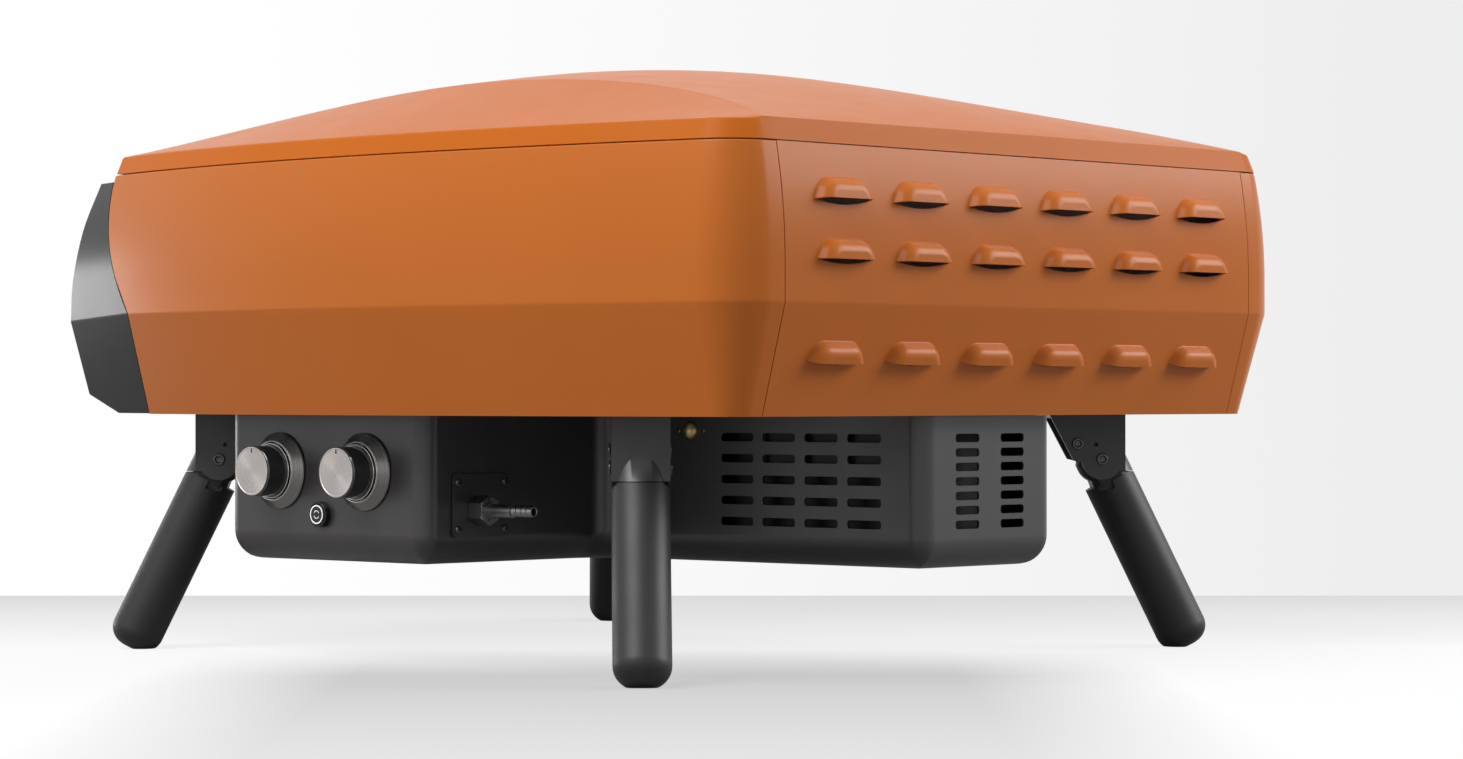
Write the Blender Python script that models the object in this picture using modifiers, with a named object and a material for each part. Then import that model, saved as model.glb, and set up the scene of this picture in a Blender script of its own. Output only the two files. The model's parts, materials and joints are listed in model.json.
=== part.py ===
"""Portable gas pizza oven with a turning stone, two burners and four folding legs.

Metres, +Z up. +Y points at the louvred rear panel and +X at the side with the knobs.
The origin lies on the ground, in the middle of the whole oven's length and width.
"""
import math

import bmesh
import bpy
from mathutils import Matrix, Vector

# Fits shared by many pieces
GAP = 0.0003                      # clearance between two pieces that touch
OVERRUN = 0.002                   # how far a cut runs past the wall that it opens

# Body: overall sizes, which the other pieces follow
BODY_BOTTOM = 0.1713              # height of the body's underside above the ground
WALL_HEIGHT = 0.1731              # from there up to the lid's seam
HALF_WIDTH = 0.3129               # at the seam
FRONT_DEPTH = 0.3130              # from the origin forwards to the lid's front
REAR_DEPTH = 0.3110               # and backwards to the rear wall at the seam
SHEET = 0.0012                    # steel sheet of the body

# Body: shape of its wall
CREASE_SHARE = 0.4154             # heights as shares of the wall's height
BELLY_SHARE = 0.5586
FRONT_NARROWING = 0.0428          # how far the side draws in at the front end
REAR_NARROWING = 0.0309           # and at the rear end
CORNER_RADIUS = 0.0330
BELLY_BULGE = 0.0075              # how far the wall stands out at its belly
FOOT_TUCK = 0.0195                # how far it runs back in from the crease to the bottom

# Front edge of the side shells
EDGE_SETBACK = 0.0320             # behind the lid's front, below the crease
EDGE_SWEEP = 0.0374               # how far it sweeps forwards above the crease
EDGE_SWEEP_SHARE = 0.78           # height share at which the sweep is widest

# Flanges of the sheet pieces
TOP_FLANGE = 0.0100
FRONT_FLANGE = 0.0120
REAR_FLANGE = 0.0120

# Lid
RIM_BAND = 0.0135                 # height of its rim
RIM_INSET = 0.0050
LID_SETBACK = 0.0010              # of its dome behind its front edge
HIP_RISE = 0.0428                 # from the rim up to the hips in the middle
CROWN_RISE = 0.0179               # and from the hips to the crown
HIP_MIDDLE_SHARE = 0.6101         # half width between the hips, as a share of the body's
HIP_END_SHARE = 0.8316            # and at the lid's ends
HIP_SPREAD_POWER = 3.24
CROWN_LENGTH_POWER = 1.275
CROWN_WIDTH_POWER = 1.742

# Rear panel and its louvres
PANEL_INSET = 0.0645              # from the body's half width to the panel's
PANEL_SEAM = 0.0005
HOOD_HALF_WIDTH = 0.0283
HOOD_HEIGHT = 0.0140
HOOD_DEPTH = 0.0095
HOOD_CORNER = 0.0050
HOOD_COLUMNS = 6
HOOD_PITCH_SHARE = 0.3088         # of the panel's half width
HOOD_ROW_SHARES = (0.7955, 0.5644, 0.1889)    # of the wall's height
HOOD_FORM_SHARES = ((0.55, 0.10), (1.0, 0.30))    # depth shares and how far they draw in

# Front bezel: where its front corner lies on six levels, from the bottom up. An inset counts
# from the body's half width, a reach from the lid's front, a share from the wall's height.
BEZEL_BOTTOM_INSET = 0.0619
BEZEL_BOTTOM_REACH = 0.0220
BEZEL_BOTTOM_SHARE = 0.0023
BEZEL_CHIN_INSET = 0.0711
BEZEL_CHIN_REACH = 0.0680
BEZEL_CHIN_SHARE = 0.0820
BEZEL_CREASE_INSET = 0.0573
BEZEL_CREASE_REACH = 0.0726
BEZEL_CREASE_SHARE = 0.3911
BEZEL_BROW_INSET = 0.0539
BEZEL_BROW_REACH = 0.0660
BEZEL_BROW_SHARE = 0.5586
BEZEL_SHOULDER_INSET = 0.0527
BEZEL_SHOULDER_REACH = 0.0520
BEZEL_SHOULDER_SHARE = 0.7793
BEZEL_TOP_INSET = 0.0519
BEZEL_TOP_REACH = 0.0300
BEZEL_TOP_SHARE = 0.9717
BEZEL_WALL = 0.0025
BEZEL_BOW = 0.0080                # how far the front bows out in its middle
BEZEL_SEAM = 0.0004
MOUTH_CORNER = 0.0120
MOUTH_LIP_REACH = 0.0120          # from the lid's front to the lip's inner end

# Base pan
PAN_WALL_HEIGHT = 0.0120

# Chamber: the room between it and the body on each side
CHAMBER_SIDE_ROOM = 0.0709
CHAMBER_FRONT_ROOM = 0.0570
CHAMBER_REAR_ROOM = 0.0530
CHAMBER_TOP_ROOM = 0.0224         # from its walls' top up to the lid's seam
CHAMBER_DOME_RISE = 0.0480
CHAMBER_SHEET = 0.0010
FLOOR_RISE = 0.0167               # from the pan up to the top of the chamber's floor
FLOOR_SHEET = 0.0012
THROAT_SHEET = 0.0012
INSULATION = 0.0180
INSULATION_AIR = 0.0015
MOUTH_SIDE_ROOM = 0.0420          # from the chamber's wall to the mouth's side
MOUTH_TOP_ROOM = 0.0125           # from the chamber's walls' top down to the mouth's top

# Stone and its drive
STONE_FRONT_ROOM = 0.0210         # from the chamber's front to the stone's edge
STONE_REAR_ROOM = 0.0410          # from the flame shield to the stone's edge, behind it
STONE_SIDE_ROOM = 0.0070          # and beside it
STONE_THICKNESS = 0.0150
STONE_ROUND = 0.0020
CARRIER_OVERHANG = 0.0550         # how far the stone stands out over its carrier
CARRIER_SHEET = 0.0025
CARRIER_HOLE_SHARE = 0.173        # sizes in the carrier as shares of its radius
CARRIER_CIRCLE_SHARE = 0.70
CARRIER_HOLES = 6
HUB_RADIUS = 0.0140
HUB_LENGTH = 0.0040
SHAFT_RADIUS = 0.0050
BEARING_RADIUS = 0.0090
BEARING_FLANGE_RADIUS = 0.0200
BEARING_FLANGE = 0.0030
BEARING_RISE = 0.0123             # above the chamber's floor
MOTOR_RADIUS = 0.0175
MOTOR_LENGTH = 0.0360
MOTOR_DROP = 0.0373               # from the body's underside to the motor's top
MOTOR_BOSS_RADIUS = 0.0070
MOTOR_BOSS = 0.0030
STUB_RADIUS = 0.0030
STUB_LENGTH = 0.0060
COUPLING_RADIUS = 0.0085
COUPLING_LENGTH = 0.0180
COUPLING_GRIP = 0.0090
STRAP_HALF_WIDTH = 0.0320
STRAP_FLANGE = 0.0120
STRAP_DEPTH = 0.0300
STRAP_SHEET = 0.0020

# Burners
BURNER_RADIUS = 0.0070
BURNER_RISE = 0.0164              # from the stone's top to the burner's centre line
BURNER_SIDE_ROOM = 0.0180         # from that line to the chamber's wall
BURNER_REAR_ROOM = 0.0300
BURNER_START = 0.0200             # how far ahead of the stone's centre the burner starts
BURNER_BEND = 0.0600
BURNER_POST_RADIUS = 0.0030
BOOSTER_CIRCLE = 0.0700
BOOSTER_RADIUS = 0.0055
MIXER_RADIUS = 0.0060
BOOSTER_MIXER_RADIUS = 0.0045
MIXER_BEND = 0.0180
SHIELD_SHEET = 0.0010
SHIELD_DROP = 0.0080              # from the burner's centre line to the shield's top
SHIELD_OFFSET = 0.0120            # from the burner's centre line to the flame shield
SHIELD_FOOT = 0.0045

# Igniters
IGNITER_RADIUS = 0.0025
IGNITER_COLLAR_RADIUS = 0.0045
IGNITER_COLLAR = 0.0060
IGNITER_STANDOFF = 0.0180

# Control housing under the body
HOUSING_DEPTH = 0.1027            # from the body's underside down to its bottom
HOUSING_SHEET = 0.0015
HOUSING_FILLET = 0.0205
HOUSING_PLAN_RADIUS = 0.0130
HOUSING_INNER_RADIUS = 0.0150
ARM_SIDE_ROOM = 0.0663            # from the body's half width to an arm's end face
ARM_FRONT_ROOM = 0.0957           # from the lid's front to the arms' front
ARM_LENGTH = 0.2053               # from there to their rear wall
ARM_NOSE = 0.0616                 # width of an arm's front wall
REAR_ARM_HALF_WIDTH = 0.0705
REAR_ARM_ROOM = 0.0291            # from the rear wall to the rear arm's end
NOTCH_DEPTH = 0.1103              # from the arms' front to the bottom of the notch
NOTCH_CENTRE_X = 0.0770

# Vent slots
SIDE_VENT_LENGTH = 0.0300
SIDE_VENT_HEIGHT = 0.0058
SIDE_VENT_PITCH_Y = 0.0385
SIDE_VENT_PITCH_Z = 0.0145
SIDE_VENT_END_ROOM = 0.0515       # from the rear arm's end to the last column
SIDE_VENT_RISE = 0.0292           # from the housing's bottom to the first row
SIDE_VENT_COLUMNS = 4
SIDE_VENT_ROWS = 5
REAR_VENT_LENGTH = 0.0250
REAR_VENT_HEIGHT = 0.0058
REAR_VENT_PITCH_X = 0.0480
REAR_VENT_PITCH_Z = 0.0097
REAR_VENT_RISE = 0.0293
REAR_VENT_ROWS = 7
VENT_CORNER_SHARE = 0.38          # corner radius as a share of a slot's height

# Knobs, valves and their bezels on the end face of the right arm
KNOB_RISE = 0.0631                # from the housing's bottom to the knobs' axis
KNOB_ROOM = 0.0566                # from the arm's front to the booster's knob
KNOB_PITCH = 0.0882
KNOB_RADIUS = 0.0177
KNOB_LENGTH = 0.0195
KNOB_FLANGE_RADIUS = 0.0192
KNOB_FLANGE = 0.0020
KNOB_CHAMFER = 0.0012
KNOB_STANDOFF = 0.0266            # from the arm's face to the knob's face
KNOB_PUSH = 0.0030
STEM_RADIUS = 0.0040
DIAL_BASE_RADIUS = 0.0271
DIAL_FRONT_RADIUS = 0.0212
DIAL_LENGTH = 0.0076
DIAL_LIP = 0.0012
DIAL_FLOOR = 0.0015
VALVE_RADIUS = 0.0110
VALVE_FRONT_INSET = 0.0060
VALVE_LENGTH = 0.0450
VALVE_BORE_RADIUS = 0.0065
VALVE_BORE_DEPTH = 0.0330
VALVE_NECK_RADIUS = 0.0060
ROTOR_RADIUS = 0.0060
ROTOR_LENGTH = 0.0150
MANIFOLD_INSET = 0.0516           # from the arm's end face to the gas pipe
MANIFOLD_RADIUS = 0.0060

# Push-button switch
SWITCH_PITCH = 0.0442             # from the booster's knob
SWITCH_RISE = 0.0331
SWITCH_RADIUS = 0.0090
SWITCH_RIM = 0.0045               # how far the switch body stands out of the face
SWITCH_BODY_RADIUS = 0.0075
SWITCH_BODY_LENGTH = 0.0220
BUTTON_RADIUS = 0.0072
BUTTON_LENGTH = 0.0080
BUTTON_PROUD = 0.0006
BUTTON_TRAVEL = 0.0020

# Gas inlet on the rear face of the right arm
INLET_INSET = 0.0476              # from the arm's end face
INLET_RISE = 0.0370
PLATE_WIDTH = 0.0530
PLATE_HEIGHT = 0.0442
PLATE_SIDE_OFFSET = 0.0039        # from the inlet's axis to the plate's middle
PLATE_RISE_OFFSET = 0.0032
PLATE_THICKNESS = 0.0020
PLATE_CORNER = 0.0035
NUT_FLATS = 0.0180
NUT_LENGTH = 0.0130
BARB_STEM_RADIUS = 0.0060
BARB_STEM_INSIDE = 0.0180
BARB_COLLAR_RADIUS = 0.0046
BARB_COLLAR_LENGTH = 0.0220
BARB_RADIUS = 0.0040
BARB_RIDGE = 0.0007
BARB_PITCH = 0.0050
BARB_RIDGES = 4
BARB_BORE_RADIUS = 0.0024
BARB_BORE_DEPTH = 0.0300

# Brass port on the right wall of the rear arm
PORT_VENT_ROOM = 0.0435           # from the middle of the first column of vent slots
PORT_DROP = 0.0112                # below the body's underside
PORT_RADIUS = 0.0062
PORT_PROUD = 0.0050
PORT_SHANK_RADIUS = 0.0045
PORT_SHANK = 0.0080

# Battery holder and cover in the left arm, spark module under the pan
BATTERY_ROOM = 0.1128             # from the arm's front to the holder's middle
BATTERY_RISE = 0.0564
BATTERY_WIDTH = 0.0780
BATTERY_HEIGHT = 0.0420
BATTERY_LENGTH = 0.0660
BATTERY_WALL = 0.0020
COVER_MARGIN = 0.0060
COVER_THICKNESS = 0.0020
COVER_CORNER = 0.0050
MODULE_LENGTH = 0.0450
MODULE_WIDTH = 0.0280
MODULE_HEIGHT = 0.0220
MODULE_SIDE_OFFSET = 0.0850       # from the motor's axis to the module's middle
MODULE_ROOM = 0.0330              # from its middle to the arms' rear wall

# Folding legs
LEG_AZIMUTH = math.radians(45.0)
LEG_LEAN = math.radians(25.8)
REAR_LEG_SIDE_ROOM = 0.0575       # from the body's half width to a rear bracket's outer face
REAR_LEG_END_ROOM = 0.1106        # and from its rear wall
FRONT_LEG_SIDE_ROOM = 0.0952
FRONT_LEG_END_ROOM = 0.0281
LEG_RADIUS = 0.0190
LEG_END_TRIM = 0.0013             # how far the round end stops short of the ground's plane
LEG_START = 0.0170                # from the pivot to the full tube
LEG_END_ROUND = 0.0140
TONGUE_RADIUS = 0.0156
TONGUE_TOP = 0.0135
TONGUE_INNER = 0.0120
CHEEK_RELIEF = 0.0230
BRACKET_HALF_WIDTH = 0.0190
BRACKET_LENGTH = 0.0560
BRACKET_WALL = 0.0030
BRACKET_DROP = 0.0415
CHEEK_TOE = 0.0385
CHEEK_TOE_DROP = 0.0333
CHEEK_LOBE = 0.0150
PIVOT_INSET = 0.0170
PIVOT_DROP = 0.0330
CUFF_CLEARANCE = 0.0006
PIVOT_PIN_RADIUS = 0.0035
PIN_HEAD_RADIUS = 0.0045
PIN_HEAD = 0.0008
STOP_PIN_RADIUS = 0.0030
STOP_PIN_INSET = 0.0350
STOP_PIN_DROP = 0.0217

# Smoothness of the round shapes
SIDE_STEPS = 8
CORNER_STEPS = 4
CROWN_STEPS = 8
TURN_STEPS = 20
SMALL_TURN_STEPS = 12
SHARP_ANGLE = math.radians(35.0)

# Heights worked out from the sizes above
CREASE_HEIGHT = BODY_BOTTOM + WALL_HEIGHT * CREASE_SHARE
BELLY_HEIGHT = BODY_BOTTOM + WALL_HEIGHT * BELLY_SHARE
SEAM_HEIGHT = BODY_BOTTOM + WALL_HEIGHT
RIM_HEIGHT = SEAM_HEIGHT + RIM_BAND
HIP_HEIGHT = RIM_HEIGHT + HIP_RISE
PAN_TOP = BODY_BOTTOM + SHEET
FLOOR_HEIGHT = PAN_TOP + FLOOR_RISE
BEARING_TOP = FLOOR_HEIGHT + BEARING_RISE
CARRIER_BOTTOM = BEARING_TOP + GAP
STONE_BOTTOM = CARRIER_BOTTOM + HUB_LENGTH + CARRIER_SHEET + GAP
MOUTH_BOTTOM = STONE_BOTTOM + STONE_THICKNESS
BURNER_HEIGHT = MOUTH_BOTTOM + BURNER_RISE
SHIELD_TOP = BURNER_HEIGHT - SHIELD_DROP
CHAMBER_WALL_TOP = SEAM_HEIGHT - CHAMBER_TOP_ROOM
MOUTH_TOP = CHAMBER_WALL_TOP - MOUTH_TOP_ROOM
MOTOR_TOP = BODY_BOTTOM - MOTOR_DROP
HOUSING_TOP = BODY_BOTTOM - GAP
HOUSING_BOTTOM = BODY_BOTTOM - HOUSING_DEPTH
PIVOT_HEIGHT = HOUSING_TOP - PIVOT_DROP
LEG_LENGTH = PIVOT_HEIGHT / math.cos(LEG_LEAN) - LEG_END_TRIM
KNOB_HEIGHT = HOUSING_BOTTOM + KNOB_RISE
SWITCH_HEIGHT = HOUSING_BOTTOM + SWITCH_RISE
INLET_HEIGHT = HOUSING_BOTTOM + INLET_RISE
PLATE_CENTRE_HEIGHT = INLET_HEIGHT + PLATE_RISE_OFFSET
PORT_HEIGHT = BODY_BOTTOM - PORT_DROP
BATTERY_CENTRE_HEIGHT = HOUSING_BOTTOM + BATTERY_RISE
SIDE_VENT_FIRST_Z = HOUSING_BOTTOM + SIDE_VENT_RISE
REAR_VENT_FIRST_Z = HOUSING_BOTTOM + REAR_VENT_RISE

# Places along the width
PANEL_HALF_WIDTH = HALF_WIDTH - PANEL_INSET
HOOD_PITCH = PANEL_HALF_WIDTH * HOOD_PITCH_SHARE
HIP_MIDDLE = HALF_WIDTH * HIP_MIDDLE_SHARE
HIP_END = HALF_WIDTH * HIP_END_SHARE
CHAMBER_HALF_WIDTH = HALF_WIDTH - CHAMBER_SIDE_ROOM
MOUTH_HALF_WIDTH = CHAMBER_HALF_WIDTH - MOUTH_SIDE_ROOM
BURNER_SIDE_X = CHAMBER_HALF_WIDTH - BURNER_SIDE_ROOM
ARM_REACH = HALF_WIDTH - ARM_SIDE_ROOM
ARM_FRONT_INNER_X = ARM_REACH - ARM_NOSE
MANIFOLD_X = ARM_REACH - MANIFOLD_INSET
INLET_X = ARM_REACH - INLET_INSET
PLATE_CENTRE_X = INLET_X - PLATE_SIDE_OFFSET
REAR_LEG_X = HALF_WIDTH - REAR_LEG_SIDE_ROOM
FRONT_LEG_X = HALF_WIDTH - FRONT_LEG_SIDE_ROOM

# Places along the length
REAR_REACH = REAR_DEPTH + BELLY_BULGE + HOOD_DEPTH
EDGE_DEPTH = FRONT_DEPTH - EDGE_SETBACK
LID_DEPTH = FRONT_DEPTH - LID_SETBACK
MOUTH_LIP_DEPTH = FRONT_DEPTH + MOUTH_LIP_REACH
CHAMBER_FRONT = FRONT_DEPTH - CHAMBER_FRONT_ROOM
CHAMBER_REAR = REAR_DEPTH - CHAMBER_REAR_ROOM
BURNER_REAR_Y = CHAMBER_REAR - BURNER_REAR_ROOM
SHIELD_REAR_Y = BURNER_REAR_Y - SHIELD_OFFSET
STONE_RADIUS = min(BURNER_SIDE_X - SHIELD_OFFSET - STONE_SIDE_ROOM,
                   (SHIELD_REAR_Y - STONE_REAR_ROOM + CHAMBER_FRONT - STONE_FRONT_ROOM) / 2)
STONE_CENTRE_Y = STONE_FRONT_ROOM - CHAMBER_FRONT + STONE_RADIUS
CARRIER_RADIUS = STONE_RADIUS - CARRIER_OVERHANG
CARRIER_HOLE_RADIUS = CARRIER_RADIUS * CARRIER_HOLE_SHARE
CARRIER_HOLE_CIRCLE = CARRIER_RADIUS * CARRIER_CIRCLE_SHARE
BURNER_FRONT_Y = STONE_CENTRE_Y - BURNER_START
ARM_FRONT_Y = ARM_FRONT_ROOM - FRONT_DEPTH
ARM_REAR_Y = ARM_FRONT_Y + ARM_LENGTH
NOTCH_CENTRE_Y = ARM_FRONT_Y + NOTCH_DEPTH
REAR_ARM_END_Y = REAR_DEPTH - REAR_ARM_ROOM
SIDE_VENT_LAST_Y = REAR_ARM_END_Y - SIDE_VENT_END_ROOM
BOOSTER_KNOB_Y = ARM_FRONT_Y + KNOB_ROOM
MAIN_KNOB_Y = BOOSTER_KNOB_Y + KNOB_PITCH
SWITCH_Y = BOOSTER_KNOB_Y + SWITCH_PITCH
PORT_Y = SIDE_VENT_LAST_Y - (SIDE_VENT_COLUMNS - 1) * SIDE_VENT_PITCH_Y - PORT_VENT_ROOM
BATTERY_CENTRE_Y = ARM_FRONT_Y + BATTERY_ROOM
REAR_LEG_Y = REAR_DEPTH - REAR_LEG_END_ROOM
FRONT_LEG_Y = FRONT_DEPTH - FRONT_LEG_END_ROOM

# Turns that carry a shape drawn in the XY plane, or turned round Z, to another axis
ALONG_X = Matrix(((0, 0, 1, 0), (1, 0, 0, 0), (0, 1, 0, 0), (0, 0, 0, 1)))
ALONG_Y = Matrix(((0, 1, 0, 0), (0, 0, 1, 0), (1, 0, 0, 0), (0, 0, 0, 1)))
UPRIGHT = Matrix.Identity(4)


# Tools that make meshes

def evaluated_mesh(obj):
    """The mesh of an object with its modifiers, in its own axes."""
    bpy.context.scene.collection.objects.link(obj)
    graph = bpy.context.evaluated_depsgraph_get()
    mesh = bpy.data.meshes.new_from_object(obj.evaluated_get(graph))
    bpy.data.objects.remove(obj)
    return mesh


def tidied(bm, turn=UPRIGHT):
    """Welds a closed solid, turns its faces outwards and gives it as a mesh."""
    bmesh.ops.remove_doubles(bm, verts=bm.verts, dist=GAP / 30)
    bmesh.ops.transform(bm, matrix=turn, verts=bm.verts)
    bmesh.ops.recalc_face_normals(bm, faces=bm.faces)
    mesh = bpy.data.meshes.new("shape")
    bm.to_mesh(mesh)
    bm.free()
    return mesh


def welded(mesh, turn=UPRIGHT):
    """The same, from a mesh."""
    bm = bmesh.new()
    bm.from_mesh(mesh)
    return tidied(bm, turn)


def at(x, y, z):
    """A move to a point."""
    return Matrix.Translation((x, y, z))


def box(low, high):
    """A block between two corners."""
    bm = bmesh.new()
    bmesh.ops.create_cube(bm, size=1)
    size = [b - a for a, b in zip(low, high)]
    centre = [(a + b) / 2 for a, b in zip(low, high)]
    return tidied(bm, at(*centre) @ Matrix.Diagonal((*size, 1)))


def turned(profile, turn=UPRIGHT, steps=TURN_STEPS):
    """A turned solid from (radius, height) points that run down its outer side."""
    mesh = bpy.data.meshes.new("profile")
    points = [(radius, 0, height) for radius, height in profile]
    mesh.from_pydata(points, [(i, i + 1) for i in range(len(points) - 1)], [])
    obj = bpy.data.objects.new("turned", mesh)
    screw = obj.modifiers.new("screw", "SCREW")
    screw.steps = screw.render_steps = steps
    screw.use_merge_vertices = True
    screw.merge_threshold = GAP / 30
    return welded(evaluated_mesh(obj), turn)


def rod(radius, low, high, turn=UPRIGHT, steps=SMALL_TURN_STEPS):
    """A plain round rod along the turned axis."""
    bm = bmesh.new()
    bmesh.ops.create_cone(bm, cap_ends=True, segments=steps, radius1=radius, radius2=radius,
                          depth=high - low)
    return tidied(bm, turn @ at(0, 0, (low + high) / 2))


def ring(inner, outer, low, high, turn=UPRIGHT, steps=TURN_STEPS):
    """A plain round collar."""
    profile = [(inner, high), (outer, high), (outer, low), (inner, low), (inner, high)]
    return turned(profile, turn, steps)


def plate(outlines, low, high, turn=UPRIGHT):
    """A flat piece from closed outlines, where the inner ones are its holes."""
    curve = bpy.data.curves.new("outline", "CURVE")
    curve.dimensions = "2D"
    curve.fill_mode = "BOTH"
    curve.extrude = (high - low) / 2
    for outline in outlines:
        spline = curve.splines.new("POLY")
        spline.points.add(len(outline) - 1)
        for point, (x, y) in zip(spline.points, outline):
            point.co = (x, y, 0, 1)
        spline.use_cyclic_u = True
    obj = bpy.data.objects.new("outline", curve)
    return welded(evaluated_mesh(obj), turn @ at(0, 0, (low + high) / 2))


def tube(points, radius, closed=False, sides=2):
    """A round tube along a line of points."""
    curve = bpy.data.curves.new("path", "CURVE")
    curve.dimensions = "3D"
    curve.bevel_depth = radius
    curve.bevel_resolution = sides
    curve.use_fill_caps = not closed
    spline = curve.splines.new("POLY")
    spline.points.add(len(points) - 1)
    for point, place in zip(spline.points, points):
        point.co = (*place, 1)
    spline.use_cyclic_u = closed
    return welded(evaluated_mesh(bpy.data.objects.new("path", curve)))


def loft(rings, closed=True, capped=True):
    """Quads between rings of points that have the same count."""
    bm = bmesh.new()
    rows = [[bm.verts.new(point) for point in points] for points in rings]
    count = len(rows[0])
    for low, high in zip(rows, rows[1:]):
        for i in range(count if closed else count - 1):
            j = (i + 1) % count
            bm.faces.new((low[i], low[j], high[j], high[i]))
    if capped:
        bm.faces.new(list(reversed(rows[0])))
        bm.faces.new(rows[-1])
    return bm


def sheet(rings, thickness, outwards=-1):
    """A bent sheet: an open loft given a thickness on the side away from its normals."""
    bm = loft(rings, closed=False, capped=False)
    bmesh.ops.remove_doubles(bm, verts=bm.verts, dist=GAP / 30)
    mesh = bpy.data.meshes.new("sheet")
    bm.to_mesh(mesh)
    bm.free()
    obj = bpy.data.objects.new("sheet", mesh)
    solidify = obj.modifiers.new("thickness", "SOLIDIFY")
    solidify.thickness = thickness
    solidify.offset = outwards
    solidify.use_even_offset = True
    return welded(evaluated_mesh(obj))


def boolean(base, tool, operation):
    """An exact Boolean of two meshes."""
    other = bpy.data.objects.new("tool", tool)
    other.hide_render = True
    other.display_type = "WIRE"
    bpy.data.collections["cutters"].objects.link(other)
    obj = bpy.data.objects.new("base", base)
    step = obj.modifiers.new("boolean", "BOOLEAN")
    step.operation = operation
    step.solver = "EXACT"
    step.object = other
    mesh = evaluated_mesh(obj)
    bpy.data.objects.remove(other)
    return mesh


def cut(base, *tools):
    """The base without the tools."""
    for tool in tools:
        base = boolean(base, tool, "DIFFERENCE")
    return base


def fused(base, *tools):
    """The base and the tools as one body."""
    for tool in tools:
        base = boolean(base, tool, "UNION")
    return base


def overlap(base, tool):
    """What lies in both."""
    return boolean(base, tool, "INTERSECT")


def gathered(meshes):
    """Several separate solids as one mesh, for use as one cutter."""
    bm = bmesh.new()
    for mesh in meshes:
        bm.from_mesh(mesh)
    return tidied(bm)


def moved(mesh, turn):
    """A moved copy of a mesh."""
    return welded(mesh, turn)


# Outlines

def arc(centre, radius, start, end, steps):
    """Points along an arc, both ends included."""
    angles = [start + (end - start) * i / steps for i in range(steps + 1)]
    return [(centre[0] + radius * math.cos(a), centre[1] + radius * math.sin(a)) for a in angles]


def circle(centre, radius, steps=SMALL_TURN_STEPS):
    """A closed ring of points."""
    return arc(centre, radius, 0, math.tau * (steps - 1) / steps, steps - 1)


def rounded(corners, inset=0.0, steps=3):
    """A closed outline from (x, y, radius) corners in counter-clockwise order."""
    outline = []
    count = len(corners)
    edges = []
    for i in range(count):
        start = Vector(corners[i][:2])
        along = (Vector(corners[(i + 1) % count][:2]) - start).normalized()
        inwards = Vector((-along.y, along.x))
        edges.append((start + inwards * inset, along))
    for i in range(count):
        before, after = edges[i - 1], edges[i]
        turn = before[1].cross(after[1])
        corner = before[0] + before[1] * (after[0] - before[0]).cross(after[1]) / turn
        side = 1 if turn > 0 else -1
        radius = max(corners[i][2] - side * inset, GAP)
        inwards = Vector((-before[1].y, before[1].x)) * side
        angle = math.acos(max(-1.0, min(1.0, before[1].dot(after[1]))))
        tangent = radius * math.tan(angle / 2)
        centre = corner - before[1] * tangent + inwards * radius
        start = math.atan2(-inwards.y, -inwards.x)
        outline += arc(centre, radius, start, start + side * angle, steps)
    return outline


def rectangle(centre, width, height, radius, steps=3):
    """A rectangle with round corners."""
    x, y = width / 2, height / 2
    corners = [(x, -y, radius), (x, y, radius), (-x, y, radius), (-x, -y, radius)]
    return [(centre[0] + px, centre[1] + py) for px, py in rounded(corners, steps=steps)]


def bent(points, radius, steps=4):
    """A line through points, with its inner corners rounded to a bend radius."""
    path = [Vector(points[0])]
    for before, corner, after in zip(points, points[1:], points[2:]):
        corner = Vector(corner)
        back = (Vector(before) - corner).normalized()
        ahead = (Vector(after) - corner).normalized()
        half = back.angle(ahead) / 2
        centre = corner + (back + ahead).normalized() * radius / math.sin(half)
        first = corner + back * radius / math.tan(half) - centre
        last = corner + ahead * radius / math.tan(half) - centre
        path += [centre + first.slerp(last, i / steps) * radius for i in range(steps + 1)]
    return path + [Vector(points[-1])]


# Shape of the body

def side_x(y):
    """Half width of the body at the seam, at a place along its length."""
    if y < 0:
        return HALF_WIDTH - FRONT_NARROWING * (y / FRONT_DEPTH) ** 2
    return HALF_WIDTH - REAR_NARROWING * (y / REAR_DEPTH) ** 2


def side_slope(y):
    """How fast the side draws in there."""
    if y < 0:
        return -2 * FRONT_NARROWING * y / FRONT_DEPTH ** 2
    return -2 * REAR_NARROWING * y / REAR_DEPTH ** 2


def wall_offset(height):
    """How far the wall stands out of its place at the seam."""
    if height >= BELLY_HEIGHT:
        share = (height - BELLY_HEIGHT) / (SEAM_HEIGHT - BELLY_HEIGHT)
        return BELLY_BULGE * (1 - share ** 2)
    share = max(0.0, (CREASE_HEIGHT - height) / (CREASE_HEIGHT - BODY_BOTTOM))
    return BELLY_BULGE - FOOT_TUCK * share


def edge_y(height):
    """Front edge of the side shells."""
    share = max(0.0, (height - CREASE_HEIGHT) / (SEAM_HEIGHT - CREASE_HEIGHT))
    return -EDGE_DEPTH - EDGE_SWEEP * (1 - (1 - share / EDGE_SWEEP_SHARE) ** 2)


def side_path(offset, front_y):
    """Plan points of the right side, from a front edge round the rear corner."""
    join_y = REAR_DEPTH - CORNER_RADIUS
    lean = math.atan(-side_slope(join_y))
    centre = (side_x(join_y) - CORNER_RADIUS * math.cos(lean), join_y)
    start = join_y + CORNER_RADIUS * math.sin(lean)
    points = []
    for i in range(SIDE_STEPS):
        y = front_y + (start - front_y) * i / SIDE_STEPS
        points.append((side_x(y) + offset * math.hypot(1, side_slope(y)), y))
    return points + arc(centre, CORNER_RADIUS + offset, lean, math.pi / 2, CORNER_STEPS)


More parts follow.
